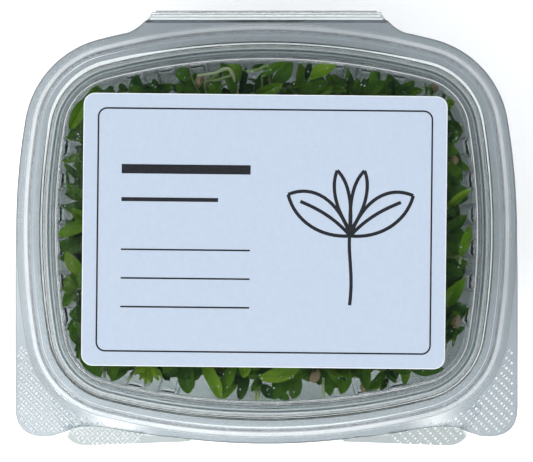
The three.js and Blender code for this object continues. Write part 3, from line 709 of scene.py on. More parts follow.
# The grip: rows of small pyramids at 45 degrees, seen as dots, dashes and long lines
GRIP_PITCH = 2.05
GRIP_START = Vector((-71.1, -37.2))
GRIP_RISE = 0.12
DOT = (0.34, 0.34)
DASH = (0.15, 0.42)
LINE = (1.03, 0.13)


def grip_ridge(place, z, turn, size):
    """One low ridge with four sloping sides, closed beneath."""
    verts = []
    for scale, rise in ((1.0, -0.02), (0.4, GRIP_RISE)):
        for sx, sy in ((1, 1), (-1, 1), (-1, -1), (1, -1)):
            px = sx * (size[0] - (1 - scale) * min(size))
            py = sy * (size[1] - (1 - scale) * min(size))
            verts.append((place.x + px * math.cos(turn) - py * math.sin(turn),
                          place.y + px * math.sin(turn) + py * math.cos(turn), z + rise))
    return verts, ring_faces(2, 4) + [(4, 5, 6, 7), (3, 2, 1, 0)]


def grip_ridges(tab, polygon, z, clear_of_rim, low, high, both_ways):
    """The grip's ridges over both tabs, clear of the rim and of the tabs' own edges."""
    parts = []
    slant = -math.pi / 4
    along = Vector((math.cos(slant), math.sin(slant)))
    up = Vector((0.0, math.sqrt(2) * GRIP_PITCH))

    def has_room(place, edge):
        p = Vector((abs(place.x), place.y))
        if not (low.x < p.x < high.x and low.y < p.y < high.y and inside(p, polygon)):
            return False
        return plan.offset_of(p.x, p.y) > clear_of_rim and min((p - q).length for q in tab) > edge

    for side in (-1, 1):
        origin = GRIP_START if side < 0 else Vector((71.1 - 90 * 0.5 * math.sqrt(2) * GRIP_PITCH, -37.2))
        for row in range(-70, 71):
            for step in range(0, 90):
                corner = origin + up * row + along * (GRIP_PITCH * step)
                if side * corner.x < 0:
                    continue
                middle = corner + along * (GRIP_PITCH / 2)
                if side < 0 and has_room(middle, 1.1):
                    parts.append(grip_ridge(middle, z, slant, LINE))
                if has_room(middle - up / 2, 1.1):
                    parts.append(grip_ridge(middle - up / 2, z, slant, DOT))
                if has_room(corner - up / 2, 1.1):
                    crossing = LINE[::-1] if both_ways and side < 0 else DASH
                    parts.append(grip_ridge(corner - up / 2, z, slant, crossing))
    return join_parts(parts)


def make_grip(name, body, parts, material):
    verts, faces = parts
    grip = add_mesh(name, verts, faces, material, math.radians(20))
    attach(grip, body)


# Tone along each profile, [offset, tone]. On the lid the pale lines near 1 are painted highlights along the
# bends and the dark lines near 0.1 painted shade; the tray's dark wall band is painted shade.
LID_TONES = [(-2.4, 0.63), (-1.0, 0.63), (-0.8, 0.3), (-0.55, 0.75), (-0.1, 0.75), (0.15, 0.52),
             (1.4, 0.5), (1.6, 0.12), (2.1, 0.12), (2.4, 0.5), (2.9, 0.55), (3.3, 0.72), (3.55, 0.5),
             (3.7, 0.12), (3.95, 0.12), (4.15, 0.5), (4.7, 0.72), (5.05, 0.7), (5.25, 1.0), (5.7, 1.0),
             (5.95, 0.5), (8.45, 0.5), (8.7, 0.1), (9.1, 0.15), (9.4, 0.72), (10.5, 0.70), (10.8, 0.5),
             (12.9, 0.5)]
TRAY_TONES = [(-14.6, 0.45), (-3.2, 0.42), (-0.8, 0.24), (1.7, 0.16), (1.95, 0.5), (2.95, 0.45), (4.9, 0.5),
              (5.35, 0.9), (5.8, 0.95), (6.1, 0.9), (7.9, 0.9), (9.9, 0.95), (12.9, 0.95)]
UNCOVERED_TONE = 0.25
ROLL_TONE = 0.8
# Painted highlight: the tops of the rib ledges are paler
LEDGE_HIGHLIGHT_TONE = 0.9
# Painted patches on the flange: the pale ones are painted highlights where it reflects light at the front,
# and one at the left is a little darker: [x, y, reach, more tone]
PAINTED_FLANGE_PATCHES = [(-43.0, -54.8, 7.5, 0.42), (48.5, -54.0, 6.0, 0.35), (-67.0, -40.0, 15.0, -0.12)]
# Painted light on the tray's front walls, which are lighter: [x, y, reach, more tone]
PAINTED_LIGHT_FRONT_WALLS = [(-27.0, -43.0, 21.0, 0.32), (27.0, -43.0, 21.0, 0.28)]

# Pale strips painted on the lid as highlight lines along its bends, each [inner offset, width, places where
# it is wider or narrower]
HIGHLIGHT_LINES = [
    (-0.1, 0.13, [(0.0, -48.2, 48.0, -0.08)]),
    (5.22, 0.28, [(-46.0, 40.0, 18.0, 0.75), (48.0, 40.0, 14.0, 0.5), (0.0, -48.2, 44.0, -0.26),
                  (-49.0, -40.0, 11.0, -0.3)]),
    (7.7, 0.0, [(0.0, -48.2, 42.0, 0.5), (-48.0, 40.0, 8.0, 0.2)]),
]
HIGHLIGHT_RISE = 0.03
LEAST_HIGHLIGHT = 0.012


def highlight_line(line, inner, width, places):
    """A thin pale strip, a painted highlight line, that lies on the lid's upper face all the way round."""
    stations = 6
    verts = []
    for row in range(2 * (stations + 1)):
        k = row if row <= stations else 2 * stations + 1 - row
        rise = HIGHLIGHT_RISE if row <= stations else -0.02
        for p, n in SHEET_OUTLINE:
            offset = inner + max(LEAST_HIGHLIGHT, width + patch_share(p, places)) * k / stations
            a, b = next((a, b) for a, b in zip(line, line[1:]) if a.x <= offset <= b.x)
            here = a.lerp(b, (offset - a.x) / (b.x - a.x))
            across = Vector((-(b - a).y, (b - a).x)).normalized()
            here += across * rise
            verts.append((p.x + n.x * here.x, p.y + n.y * here.x, here.y))
    count = len(SHEET_OUTLINE)
    rows = 2 * (stations + 1)
    faces = [(i * count + j, i * count + k, m * count + k, m * count + j)
             for i, m in steps_round(rows) for j, k in steps_round(count)]
    return verts, faces


# Painted highlight lines along the hinge, each [half length, y, height, half width]
HINGE_HIGHLIGHTS = [(33.2, 60.75, LID_FLANGE_Z + 1.07, 0.2), (32.6, 61.6, LID_FLANGE_Z - 0.3 + HINGE_TUBE_R, 0.16)]


def make_lid(material, frost_and_highlight):
    profile = [(-2.4, 65.66), (-0.9, 65.68), (-0.55, 65.82), (-0.1, 65.62), (0.15, 64.9), (2.7, 51.95),
               (4.6, 51.95), (5.05, 55.9), (8.7, 55.9), (9.15, 55.3), (10.75, LID_FLANGE_Z),
               (FLANGE_OFFSET, LID_FLANGE_Z)]
    *shell, tones = lofted_sheet([0.25, 0.5, 0.75, 0.92], profile, LID_TONES, LID_TAB, False)
    verts, faces = join_parts([shell, half_tube(LID_FLANGE_Z - 0.3, True)])
    lid = add_mesh("lid_shell", verts, faces, material, math.radians(60))
    set_values(lid, "tone", tones + [ROLL_TONE] * (len(verts) - len(tones)))
    ridges = grip_ridges(LID_TAB, LID_TAB + [Vector((28.0, -40.0)), Vector((60.0, 0.0))],
                         LID_FLANGE_Z + HALF_SHEET, 13.2, Vector((38.0, -58.4)), Vector((71.6, -33.0)), False)
    make_grip("lid_grip", "lid", ridges, frost_and_highlight)
    # Pale strips of painted highlight on the lid and along the hinge
    line = faces_of_sheet(rounded(profile, 0.9), HALF_SHEET)[0]
    highlight_strips = [highlight_line(line, *row) for row in HIGHLIGHT_LINES]
    highlight_strips += [grip_ridge(Vector((0.0, y)), z, 0.0, (x, half)) for x, y, z, half in HINGE_HIGHLIGHTS]
    make_grip("lid_highlight_strips", "lid", join_parts(highlight_strips), frost_and_highlight)
    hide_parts("lid")
    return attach(lid, "lid")


def make_tray(material, frost_and_highlight):
    foot, top = Vector(WALL_FOOT), Vector(WALL_TOP)
    heights = [4.6, 9.0, 16.0, 24.0, 32.0, 40.0, 45.4, 46.0, 46.25, 46.5, 46.75, 47.2]
    wall = [tuple(foot + (top - foot) * ((z - foot.y) / (top.y - foot.y))) for z in heights]
    profile = [(-14.6, 1.55), (-13.45, 1.55), (-12.25, 0.33), (-8.85, 0.33), WALL_FOOT] + wall
    profile += [WALL_TOP, (4.9, 49.75), (5.35, 50.4), (5.8, 54.95), (7.9, 54.95), (9.9, TRAY_FLANGE_Z),
                (FLANGE_OFFSET, TRAY_FLANGE_Z)]
    cover = reach_of(LID_TAB)
    *shell, tones = lofted_sheet([0.2, 0.45, 0.7, 0.9], profile, TRAY_TONES, TRAY_TAB, True, cover)
    verts, faces = join_parts([shell, half_tube(TRAY_FLANGE_Z + 0.35, False)])
    tray = add_mesh("tray_shell", verts, faces, material, math.radians(60))
    set_values(tray, "tone", tones + [ROLL_TONE] * (len(verts) - len(tones)))
    ridges = grip_ridges(TRAY_TAB, TRAY_TAB + [Vector((22.0, -40.0)), Vector((55.0, -40.0))],
                         TRAY_FLANGE_Z + HALF_SHEET, 12.9, Vector((36.0, -61.4)), Vector((58.0, -54.0)), True)
    make_grip("tray_grip", "tray", ridges, frost_and_highlight)
    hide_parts("tray")
    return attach(tray, "tray")


def make_hinge_web(material):
    """The thin curved web between the two halves of the hinge tube."""
    middle_z = (TRAY_FLANGE_Z + LID_FLANGE_Z) / 2
    count, across = 14, 5
    verts = []
    for i in range(count + 1):
        x = (-HINGE_HALF + 2 * HINGE_HALF * i / count) * (1 - 2 * HINGE_END_SLANT * HINGE_TUBE_R)
        for y, bulge, order in ((62.95, 0.5, range(across + 1)), (62.8, 0.3, range(across, -1, -1))):
            for k in order:
                a = -math.pi / 2 + math.pi * k / across
                verts.append((x, y + bulge * math.cos(a), middle_z + 0.7 * math.sin(a)))
    size = count + 1, 2 * (across + 1)
    web = add_mesh("hinge_web", verts, ring_faces(*size) + end_faces(*size), material)
    set_values(web, "tone", [ROLL_TONE] * len(verts))
    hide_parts("hinge_strip")
    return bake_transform(web)


# The label
def label_place(x, y):
    c, s = math.cos(LABEL_TURN), math.sin(LABEL_TURN)
    return (LABEL_SHIFT_X + x * c - y * s, x * s + y * c)


def round_rectangle(half_x, half_y, radius, steps=8):
    points = []
    for cx, cy, start in ((1, 1, 0), (-1, 1, 1), (-1, -1, 2), (1, -1, 3)):
        for k in range(steps + 1):
            a = math.pi / 2 * (start + k / steps)
            points.append((cx * (half_x - radius) + radius * math.cos(a),
                           cy * (half_y - radius) + radius * math.sin(a)))
    return points


def prism(points, low, high, bevel, drop):
    """A flat-topped solid over a plan outline, with a small slope round the top."""
    count = len(points)
    rings = [(0.0, low), (0.0, high - drop), (bevel, high)]
    verts = []
    for inset, z in rings:
        for k, (x, y) in enumerate(points):
            ax, ay = points[k - 1]
            bx, by = points[(k + 1) % count]
            tangent = Vector((bx - ax, by - ay)).normalized()
            px, py = label_place(x - tangent.y * inset, y + tangent.x * inset)
            verts.append((px, py, z))
    return verts, ring_faces(len(rings), count) + [turned(face) for face in end_faces(len(rings), count)]


def stroke(points, width, low, high):
    """A printed line of even width along a polyline, with square ends."""
    left, right = [], []
    for k, p in enumerate(points):
        a = Vector(points[max(k - 1, 0)])
        b = Vector(points[min(k + 1, len(points) - 1)])
        tangent = (b - a).normalized()
        normal = Vector((-tangent.y, tangent.x)) * (width / 2)
        left.append((p[0] + normal.x, p[1] + normal.y))
        right.append((p[0] - normal.x, p[1] - normal.y))
    count = len(points)
    verts, faces = [], []
    for z in (low, high):
        verts += [(*label_place(*p), z) for p in left] + [(*label_place(*p), z) for p in right]
    for k in range(count - 1):
        faces.append((k, k + 1, count + k + 1, count + k))
        faces.append((2 * count + k, 3 * count + k, 3 * count + k + 1, 2 * count + k + 1))
        faces.append((k, 2 * count + k, 2 * count + k + 1, k + 1))
        faces.append((count + k, count + k + 1, 3 * count + k + 1, 3 * count + k))
    faces.append((0, count, 3 * count, 2 * count))
    faces.append((count - 1, 3 * count - 1, 4 * count - 1, 2 * count - 1))
    return verts, faces


def bezier(a, b, c, d, steps=16):
    a, b, c, d = Vector(a), Vector(b), Vector(c), Vector(d)
    return [tuple(a * (1 - t) ** 3 + b * 3 * t * (1 - t) ** 2 + c * 3 * t ** 2 * (1 - t) + d * t ** 3)
            for t in (k / steps for k in range(steps + 1))]


def sprig_strokes(cx, cy, size):
    """A plain line drawing of a seedling: a stem, two seed leaves and two small ones."""
    lines = [bezier((cx, cy - size), (cx + 0.06 * size, cy - 0.5 * size), (cx - 0.05 * size, cy - 0.2 * size),
                    (cx, cy + 0.1 * size))]
    for side in (-1, 1):
        start = (cx, cy + 0.02 * size)
        tip = (cx + side * 0.92 * size, cy + 0.62 * size)
        lines.append(bezier(start, (cx + side * 0.18 * size, cy + 0.55 * size),
                            (cx + side * 0.55 * size, cy + 0.78 * size), tip))
        lines.append(bezier(start, (cx + side * 0.42 * size, cy - 0.02 * size),
                            (cx + side * 0.82 * size, cy + 0.22 * size), tip))
        lines.append(bezier(start, (cx + side * 0.25 * size, cy + 0.3 * size),
                            (cx + side * 0.5 * size, cy + 0.42 * size),
                            (cx + side * 0.74 * size, cy + 0.52 * size)))
        small = (cx + side * 0.2 * size, cy + 0.98 * size)
        lines.append(bezier((cx, cy + 0.1 * size), (cx - side * 0.02 * size, cy + 0.5 * size),
                            (cx + side * 0.02 * size, cy + 0.8 * size), small))
        lines.append(bezier((cx, cy + 0.1 * size), (cx + side * 0.22 * size, cy + 0.4 * size),
                            (cx + side * 0.3 * size, cy + 0.75 * size), small))
    return lines


def make_label(paper, ink):
    low = PANEL_TOP_Z + LABEL_LIFT
    high = low + LABEL_THICK
    verts, faces = prism(round_rectangle(LABEL_X / 2, LABEL_Y / 2, LABEL_CORNER), low, high, 0.22, 0.09)
    label = add_mesh("label_card", verts, faces, paper, math.radians(10))
    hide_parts("label")
    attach(label, "lid")
    print_low, print_high = high - 0.01, high + 0.012
    border = round_rectangle(LABEL_X / 2 - 4.2, LABEL_Y / 2 - 4.2, 2.4)
    border.append(border[0])
    lines = [(line, 0.95) for line in sprig_strokes(24.0, -1.5, 19.0)]
    lines.append((border, 0.45))
    for y, x0, x1, width in ((17.0, -40.0, -4.0, 2.6), (8.5, -40.0, -13.0, 1.1)):
        lines.append(([(x0, y), (x1, y)], width))
    for y in (-5.5, -13.5, -21.5):
        lines.append(([(-40.0, y), (-4.0, y)], 0.45))
    verts, faces = join_parts([stroke(line, width, print_low, print_high + PRINT_STEP * k)
                               for k, (line, width) in enumerate(lines)])
    printed = add_mesh("label_print", verts, faces, ink)
    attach(printed, "lid")


# Seeded chance, the same rule for every leaf
class Chance:
    def __init__(self, seed):
        self.seed = seed

    def random(self):
        self.seed = (self.seed * 1664525 + 1013904223) & 0xFFFFFFFF
        return self.seed / 4294967296

    def between(self, low, high):
        return low + (high - low) * self.random()


# Where leaves may be
TANGLE_SIDE = [(2.8, -13.5), (7, -12.6), (20, -9.8), (34, -8.0), (44, -7.6), (50, -9.2), (54.5, -12.0)]
FLOOR_Z = 2.4
CEILING_Z = 64.85
WALL_CLEARANCE = 0.45


def room_at(z):
    tray = wall_offset(min(z, 48.4)) - RIB_DEPTH
    share = (z - 51.5) / (64.7 - 51.5)
    dome_wall = 2.5 - 2.8 * max(0.0, share)
    return min(tray, dome_wall) - WALL_CLEARANCE


def fits(points):
    return all(FLOOR_Z < p.z < CEILING_Z and plan.offset_of(p.x, p.y) < room_at(p.z) for p in points)


def tangle_offset(z):
    for (low_z, low), (high_z, high) in zip(TANGLE_SIDE, TANGLE_SIDE[1:]):
        if z <= high_z:
            return low + (high - low) * (z - low_z) / (high_z - low_z)
    return TANGLE_SIDE[-1][1]


def tangle_height(x, y):
    depth = -12 - plan.offset_of(x, y)
    return 54.5 + 4.0 * min(1.0, max(0.0, depth / 26))


class Heap:
    """Collects leaves and stems for one piece, with each point's shade and place on its leaf."""

    def __init__(self):
        self.verts = []
        self.faces = []
        self.shades = []
        self.places = []
        self.beads = []

    def wet(self, leaf, chance):
        """Water beads on a leaf, more of them towards the container's front."""
        along, across, up, length = blade_frame(leaf)
        for _ in range(1 + int(chance.between(0, 3.4 if leaf["base"].y < -30 else 1.2))):
            u, v = chance.between(0.3, 0.95), chance.between(-0.6, 0.6)
            place = leaf["base"] + along * (length * u) + up * (leaf["arch"] * 4 * u * (1 - u) + 0.16)
            bow = leaf.get("bow", 0.0) * 4 * u * (1 - u)
            place += across * (leaf["width"] / 2 * blade_width(u) * v + bow)
            self.beads.append((place, up, chance.between(0.12, 0.3)))

    def add(self, verts, faces, shade, places):
        start = len(self.verts)
        self.verts.extend([tuple(v) for v in verts])
        self.faces.extend([tuple(start + i for i in face) for face in faces])
        self.shades.extend([shade] * len(verts) if isinstance(shade, float) else shade)
        self.places.extend(places)

    def make(self, name, material, slot, smooth=math.radians(55)):
        obj = add_mesh(name, self.verts, self.faces, material, smooth, recalc=False)
        set_values(obj, "shade", self.shades)
        place = obj.data.attributes.new("leaf_place", "FLOAT_VECTOR", "POINT")
        place.data.foreach_set("vector", [v for p in self.places for v in p])
        return obj


LEAF_HALF_THICKNESS = 0.13
PALER_BELOW = 0.06


def blade_frame(leaf):
    along = leaf["tip"] - leaf["base"]
    length = along.length
    along.normalize()
    across = leaf["face"].cross(along).normalized()
    up = along.cross(across)
    return along, across, up, length


def blade_width(u):
    """Half width along a seed leaf, as a share of the widest: narrow foot, long oval, blunt point."""
    foot = 0.13 * (1 - u) ** 3
    return max(foot, math.sin(math.pi * min(1.0, u ** 0.9)) ** 0.62 * (1 - 0.12 * (1 - u)))


def add_blade(heap, leaf, shade, rows=12, columns=6):
    """A thin two-sided seed leaf: cupped, arched, with a grooved midrib and a slightly waved edge."""
    along, across, up, length = blade_frame(leaf)
    wave = leaf.get("wave", 0.0)
    twist = leaf.get("twist", 0.0)
    fold = leaf.get("fold", 0.0)
    grid_up, grid_down = [], []
    for i in range(rows + 1):
        u = i / rows
        half = leaf["width"] / 2 * blade_width(u)
        if u == 1.0:
            half = 0.02
        middle = leaf["base"] + along * (length * u) + up * (leaf["arch"] * 4 * u * (1 - u))
        middle += across * (leaf.get("bow", 0.0) * 4 * u * (1 - u))
        turn = twist * (u - 0.5)
        side = across * math.cos(turn) + up * math.sin(turn)
        normal = up * math.cos(turn) - across * math.sin(turn)
        for j in range(columns + 1):
            v = 2 * j / columns - 1
            lift = leaf["cup"] * abs(v) ** 1.6 * half / 2.4 + fold * abs(v) * half
            lift += wave * math.sin(9.0 * u + 2.2 * v + wave * 7) * abs(v) * 0.35
            lift -= 0.12 * math.exp(-(v / 0.16) ** 2) * math.sin(math.pi * u)
            p = middle + side * (half * v) + normal * lift
            thick = LEAF_HALF_THICKNESS * (1 - 0.75 * abs(v) ** 3) * (1 - 0.6 * u)
            if j in (0, columns):
                grid_up.append(p)
                grid_down.append(None)
            else:
                grid_up.append(p + normal * thick)
                grid_down.append(p - normal * thick)
    inner = [index for index, p in enumerate(grid_down) if p is not None]
    lower = list(range(len(grid_up)))
    for step, index in enumerate(inner):
        lower[index] = len(grid_up) + step
    verts = grid_up + [grid_down[index] for index in inner]
    grid = [(i / rows, 2 * j / columns - 1, 0.0) for i in range(rows + 1) for j in range(columns + 1)]
    places = grid + [grid[index] for index in inner]
    shades = [shade] * len(grid) + [min(1.0, shade + PALER_BELOW)] * len(inner)
    faces = []
    w = columns + 1
    for i in range(rows):
        for j in range(columns):
            a, b, c, d = i * w + j, i * w + j + 1, (i + 1) * w + j + 1, (i + 1) * w + j
            faces.append((a, b, c, d))
            faces.append((lower[a], lower[d], lower[c], lower[b]))
    for j in range(columns):
        faces.append((j, lower[j], lower[j + 1], j + 1) if lower[j] != j else (j, lower[j + 1], j + 1))
        a, b = rows * w + j, rows * w + j + 1
        faces.append(tuple(dict.fromkeys((a, b, lower[b], lower[a]))))
    faces = [f for f in (tuple(dict.fromkeys(face)) for face in faces) if len(f) > 2]
    heap.add(verts, faces, shades, places)
    add_stem(heap, [leaf["root"], leaf["root"].lerp(leaf["base"], 0.6), leaf["base"],
                    leaf["base"] + along * length * 0.1], 0.42, 0.26, shade * 0.8, blend=0.55)


def smooth_path(points, steps):
    """A Catmull-Rom curve through the points."""
    padded = [points[0] * 2 - points[1]] + list(points) + [points[-1] * 2 - points[-2]]
    result = []
    for k in range(1, len(padded) - 2):
        a, b, c, d = padded[k - 1:k + 3]
        for s in range(steps):
            t = s / steps
            result.append(0.5 * ((2 * b) + (c - a) * t + (2 * a - 5 * b + 4 * c - d) * t ** 2
                                 + (3 * b - a - 3 * c + d) * t ** 3))
    result.append(points[-1].copy())
    return result


def add_stem(heap, points, start_radius, end_radius, shade, blend=1.0, sides=6, steps=4):
    path = smooth_path(points, steps)
    verts, places = [], []
    last = len(path) - 1
    for k, p in enumerate(path):
        ahead = (path[min(k + 1, last)] - path[max(k - 1, 0)]).normalized()
        across = ahead.cross(Vector((0.11, 0.23, 0.97))).normalized()
        up = across.cross(ahead)
        radius = start_radius + (end_radius - start_radius) * k / last
        for s in range(sides):
            a = 2 * math.pi * s / sides
            verts.append(p + across * (radius * math.cos(a)) + up * (radius * math.sin(a)))
            places.append((k / last, 0.9, blend))
    faces = ring_faces(last + 1, sides) + [turned(face) for face in end_faces(last + 1, sides)]
    heap.add(verts, faces, float(shade), places)


HALF_FAN = [0.35, 0.62, 0.86, 0.78, 0.66, 0.9, 0.98, 0.84, 0.6, 0.82, 1.0, 0.9, 0.74, 0.92]
FAN_TEETH = HALF_FAN + [1.06] + HALF_FAN[::-1]
FAN_SPREAD = 2.5
FAN_MEAN = 0.8


def add_fan(heap, leaf, shade):
    """A toothed true leaf: a fan with lobes, thin, slightly cupped."""
    along, across, up, length = blade_frame(leaf)
    rings = 5
    verts_up, verts_down, places = [], [], []
    for r in range(1, rings + 1):
        share = r / rings
        for k, reach in enumerate(FAN_TEETH):
            angle = FAN_SPREAD * (k / (len(FAN_TEETH) - 1) - 0.5)
            d = length * share * (FAN_MEAN + (reach - FAN_MEAN) * share ** 2)
            p = leaf["base"] + along * (d * math.cos(angle)) + across * (d * math.sin(angle))
            p += up * (0.6 * share ** 2 * math.cos(6 * angle) + leaf["arch"] * share)
            thick = 0.12 * (1 - 0.9 * share ** 3)
            verts_up.append(p + up * thick)
            verts_down.append(p - up * thick)
            places.append((share, 2 * k / (len(FAN_TEETH) - 1) - 1, 0.0))
    count = len(FAN_TEETH)
    verts = verts_up + verts_down + [leaf["base"] + up * 0.1, leaf["base"] - up * 0.1]
    offset = len(verts_up)
    centre = len(verts) - 2
    faces = []
    for r in range(rings - 1):
        for k in range(count - 1):
            a, b, c, d = r * count + k, (r + 1) * count + k, (r + 1) * count + k + 1, r * count + k + 1
            faces.append((a, b, c, d))
            faces.append((offset + a, offset + d, offset + c, offset + b))
    for k in range(count - 1):
        faces.append((centre, k, k + 1))
        faces.append((centre + 1, offset + k + 1, offset + k))
        a, b = (rings - 1) * count + k, (rings - 1) * count + k + 1
        faces.append((a, offset + a, offset + b, b))
    heap.add(verts, faces, float(shade), places + places + [(0, 0, 0), (0, 0, 0)])
    add_stem(heap, [leaf["root"], leaf["root"].lerp(leaf["base"], 0.6), leaf["base"],
                    leaf["base"] + along * length * 0.2], 0.4, 0.28, shade, blend=0.7)


# Leaves beside the label, each [base x, base y, tip x, tip y, width, level] in picture places.
# Lower levels are darker, painted shade: level 0 lies deep and dark, 1 in between, 2 on top and bright, 3 on
# top and yellowish.
SHOWN_LEAVES = [
    [86, 101, 98, 85, 12, 3], [88, 98, 69.5, 130, 14, 3], [84, 142, 71, 129, 8, 1],
    [85, 153, 62, 161, 9, 2], [86, 184, 63, 163, 8, 1], [67, 184, 67, 168, 4, 1],
    [84, 186, 54, 182, 5.5, 2], [86, 200, 67, 188, 13, 2], [88, 205, 54, 206, 9.5, 1],
    [90, 223, 57, 236, 14, 3], [86, 238, 61, 252, 14, 1], [86, 276, 65.5, 252, 15, 3],
    [76, 288, 62, 307, 12, 2], [82, 292, 80, 323, 9, 1], [86, 348, 74, 320, 19, 2],
    [82, 340, 101, 377, 22, 2], [108, 371, 141, 366, 14, 1], [188, 362, 188, 395, 18, 1],
    [203, 360, 222, 399, 15, 3], [236, 362, 218, 398, 13, 2], [243, 372, 219, 403, 13, 2],
    [248, 372, 239, 403, 12, 0], [243.5, 355, 243.8, 378, 14, 3], [262, 364, 250, 380, 10, 1],
    [300, 366, 259, 378, 18, 3], [262, 380, 251, 392, 9, 1], [258, 386, 283, 398, 14, 0],
    [274, 378, 290, 403, 12, 1], [296, 372, 294, 404, 15, 1], [312, 366, 289, 381, 13, 1],
    [318, 364, 339, 388.5, 15, 1], [347, 366, 341, 395, 14, 1], [363, 362, 361, 381, 9, 0],
    [384, 370, 367, 390, 10, 1], [388, 372, 372, 396, 9, 2], [389, 380, 381, 393, 7, 0],
    [412, 366, 390, 376, 10, 0], [406, 362, 407, 389.5, 10, 2], [410, 370, 444, 369, 13, 1],
    [447, 224, 457, 258.5, 10, 1], [459, 258, 470, 225, 10.5, 2], [444, 262, 457.5, 259, 9, 0],
    [445, 284, 461.5, 266, 8, 1], [446, 306, 460, 281, 15, 2], [456, 302, 462, 284, 6, 0],
    [444, 309, 481, 320, 15, 3], [446, 338, 454, 327, 8, 0], [458, 327, 453.5, 348.5, 4.5, 1],
    [448, 106, 455, 121, 5, 1], [446, 122, 464, 133, 13, 1], [456, 132, 454.5, 144, 6, 2],
    [449, 135, 451.5, 155, 6, 1], [454, 146, 463, 166, 8, 1], [449, 180, 462, 180, 9, 1],
    [446, 184, 464, 192, 12, 0], [447, 208, 470, 189, 9, 3], [448, 222, 460, 229, 8, 0],
    [128, 90, 118, 84, 8, 1], [152, 93, 141, 84, 11, 0], [160, 95, 148, 83, 6, 2],
    [157, 93, 153, 78, 9, 1], [155, 92, 172, 84, 13, 1], [191, 77, 175, 73, 16, 2],
    [191, 90, 175, 86, 8, 0], [236, 83, 229, 55, 16, 3], [240, 85, 246, 66, 8, 0],
    [225, 71, 220, 62, 4, 1], [272, 66, 251, 67, 6, 1], [262, 77, 290, 60, 9, 2],
    [272, 84, 292, 60, 15, 2], [297, 92, 301, 59, 12, 3], [309, 80, 311, 60, 8, 0],
    [309, 80, 337, 65, 14, 3], [296, 94, 328, 82, 15, 2], [254, 95, 283, 84, 12, 3],
    [238, 92, 254, 84, 12, 0], [346, 84, 348, 66, 4.5, 1], [350, 88, 336, 80, 12, 0],
    [332, 92, 347, 90, 9, 2], [344, 95, 356, 86, 11, 0], [365.5, 96, 365, 77, 8, 1],
    [383, 90, 375, 76.5, 6, 1], [372, 96, 380, 84, 8, 0], [384, 82, 390, 92, 6, 0],
    [397, 97, 412, 83.5, 11, 1], [410, 96, 423, 90, 9, 2], [426, 96, 425, 83, 4, 2],
    [433, 96, 430, 84, 4.5, 1], [443, 99, 442, 90, 4, 1], [100, 92, 112, 85, 7, 0],
]
# Toothed true leaves and loose stems in the same places and levels
SHOWN_FANS = [[79, 289, 66, 275, 0, 2], [150, 364, 145, 383, 0, 3], [446, 104, 455, 102, 0, 2]]
SHOWN_STEMS = [
    [104, 364, 104, 378, 1], [134, 371, 127.5, 381.5, 1], [153, 365, 147.5, 385.5, 1],
    [156, 365, 162, 379.5, 1], [255, 386, 255.5, 401, 1], [259, 386, 257.5, 401, 1],
    [323.5, 368, 323.5, 398, 1], [458, 256, 462, 266, 1], [457, 130, 462, 123.6, 1],
    [231, 71, 197, 76, 2], [205, 85, 231, 75.5, 2], [207, 82, 218, 74, 1], [269, 68.5, 246.5, 71.5, 2],
]
# Seed husks, each [x, y, height in millimetres]
SHOWN_HUSKS = [
    [456.7, 322, 57.5], [315, 376.3, 59.5], [366, 386.3, 57.0], [199, 81, 57.5], [454, 161, 57.5],
    [436, 86, 53.0],
]
LEVEL_HEIGHTS = [55.5, 58.0, 60.2, 61.0]
LEVEL_SHADES = [0.31, 0.50, 0.68, 0.86]
# Painted light: leaves are lighter towards the front, and a little towards the right
LIGHTER_TO_THE_FRONT = 0.0005
LIGHTER_TO_THE_RIGHT = 0.0002

# The handfuls' cells in plan, with the seed of each
ROW_BORDER_Y = 5.1
CELLS = [
    ("back_left", -90, -20.5, ROW_BORDER_Y, 90, 18), ("back_middle", -20.5, 26.3, ROW_BORDER_Y, 90, 22),
    ("back_right", 26.3, 90, ROW_BORDER_Y, 90, 21), ("front_left", -90, -25.9, -90, ROW_BORDER_Y, 23),
    ("front_middle", -25.9, 25.4, -90, ROW_BORDER_Y, 19),
    ("front_right", 25.4, 90, -90, ROW_BORDER_Y, 17),
]


def plan_of(x, y):
    return (x - PICTURE_CENTRE[0]) / PIXELS_PER_MM, (PICTURE_CENTRE[1] - y) / PIXELS_PER_MM


def root_of(base):
    root = base.copy()
    for _ in range(60):
        if plan.offset_of(root.x, root.y) <= -15:
            break
        root.x *= 0.985
        root.y *= 0.985
    root.z = min(base.z - 1.5, 53.5)
    return root


def shown_leaf(row, chance):
    base_x, base_y, tip_x, tip_y, width, level = row
    x0, y0 = plan_of(base_x, base_y)
    x1, y1 = plan_of(tip_x, tip_y)
    height = LEVEL_HEIGHTS[level]
    base = Vector((x0, y0, height - chance.between(0.4, 1.6)))
    tip = Vector((x1, y1, height + chance.between(-1.6, 1.0)))
    face = Vector((chance.between(-0.35, 0.35), chance.between(-0.35, 0.35), 1)).normalized()
    leaf = {"base": base, "tip": tip, "face": face, "width": width / PIXELS_PER_MM, "level": level}
    leaf["root"] = root_of(base)
    leaf["arch"] = chance.between(0.2, 1.2)
    leaf["cup"] = chance.between(0.1, 0.5)
    return leaf


def outline_points(leaf):
    """A few places on a leaf that must stay inside the container."""
    along, across, up, length = blade_frame(leaf)
    points = [leaf["root"], leaf["tip"]]
    for share in (0.3, 0.66):
        middle = leaf["base"] + along * (length * share) + up * (leaf["arch"] * 4 * share * (1 - share))
        points += [middle + across * (leaf["width"] / 2), middle - across * (leaf["width"] / 2)]
    return points


def settle(leaf):
    for step in range(24):
        if fits(outline_points(leaf)):
            return True
        leaf["tip"].z -= 0.7
        leaf["base"].z -= 0.35
        leaf["root"].z -= 0.35
        if step > 10:
            leaf["tip"] = leaf["tip"].lerp(leaf["base"], 0.04)
    return False


def in_cell(point, cell):
    return cell[1] < point.x < cell[2] and cell[3] < point.y < cell[4]


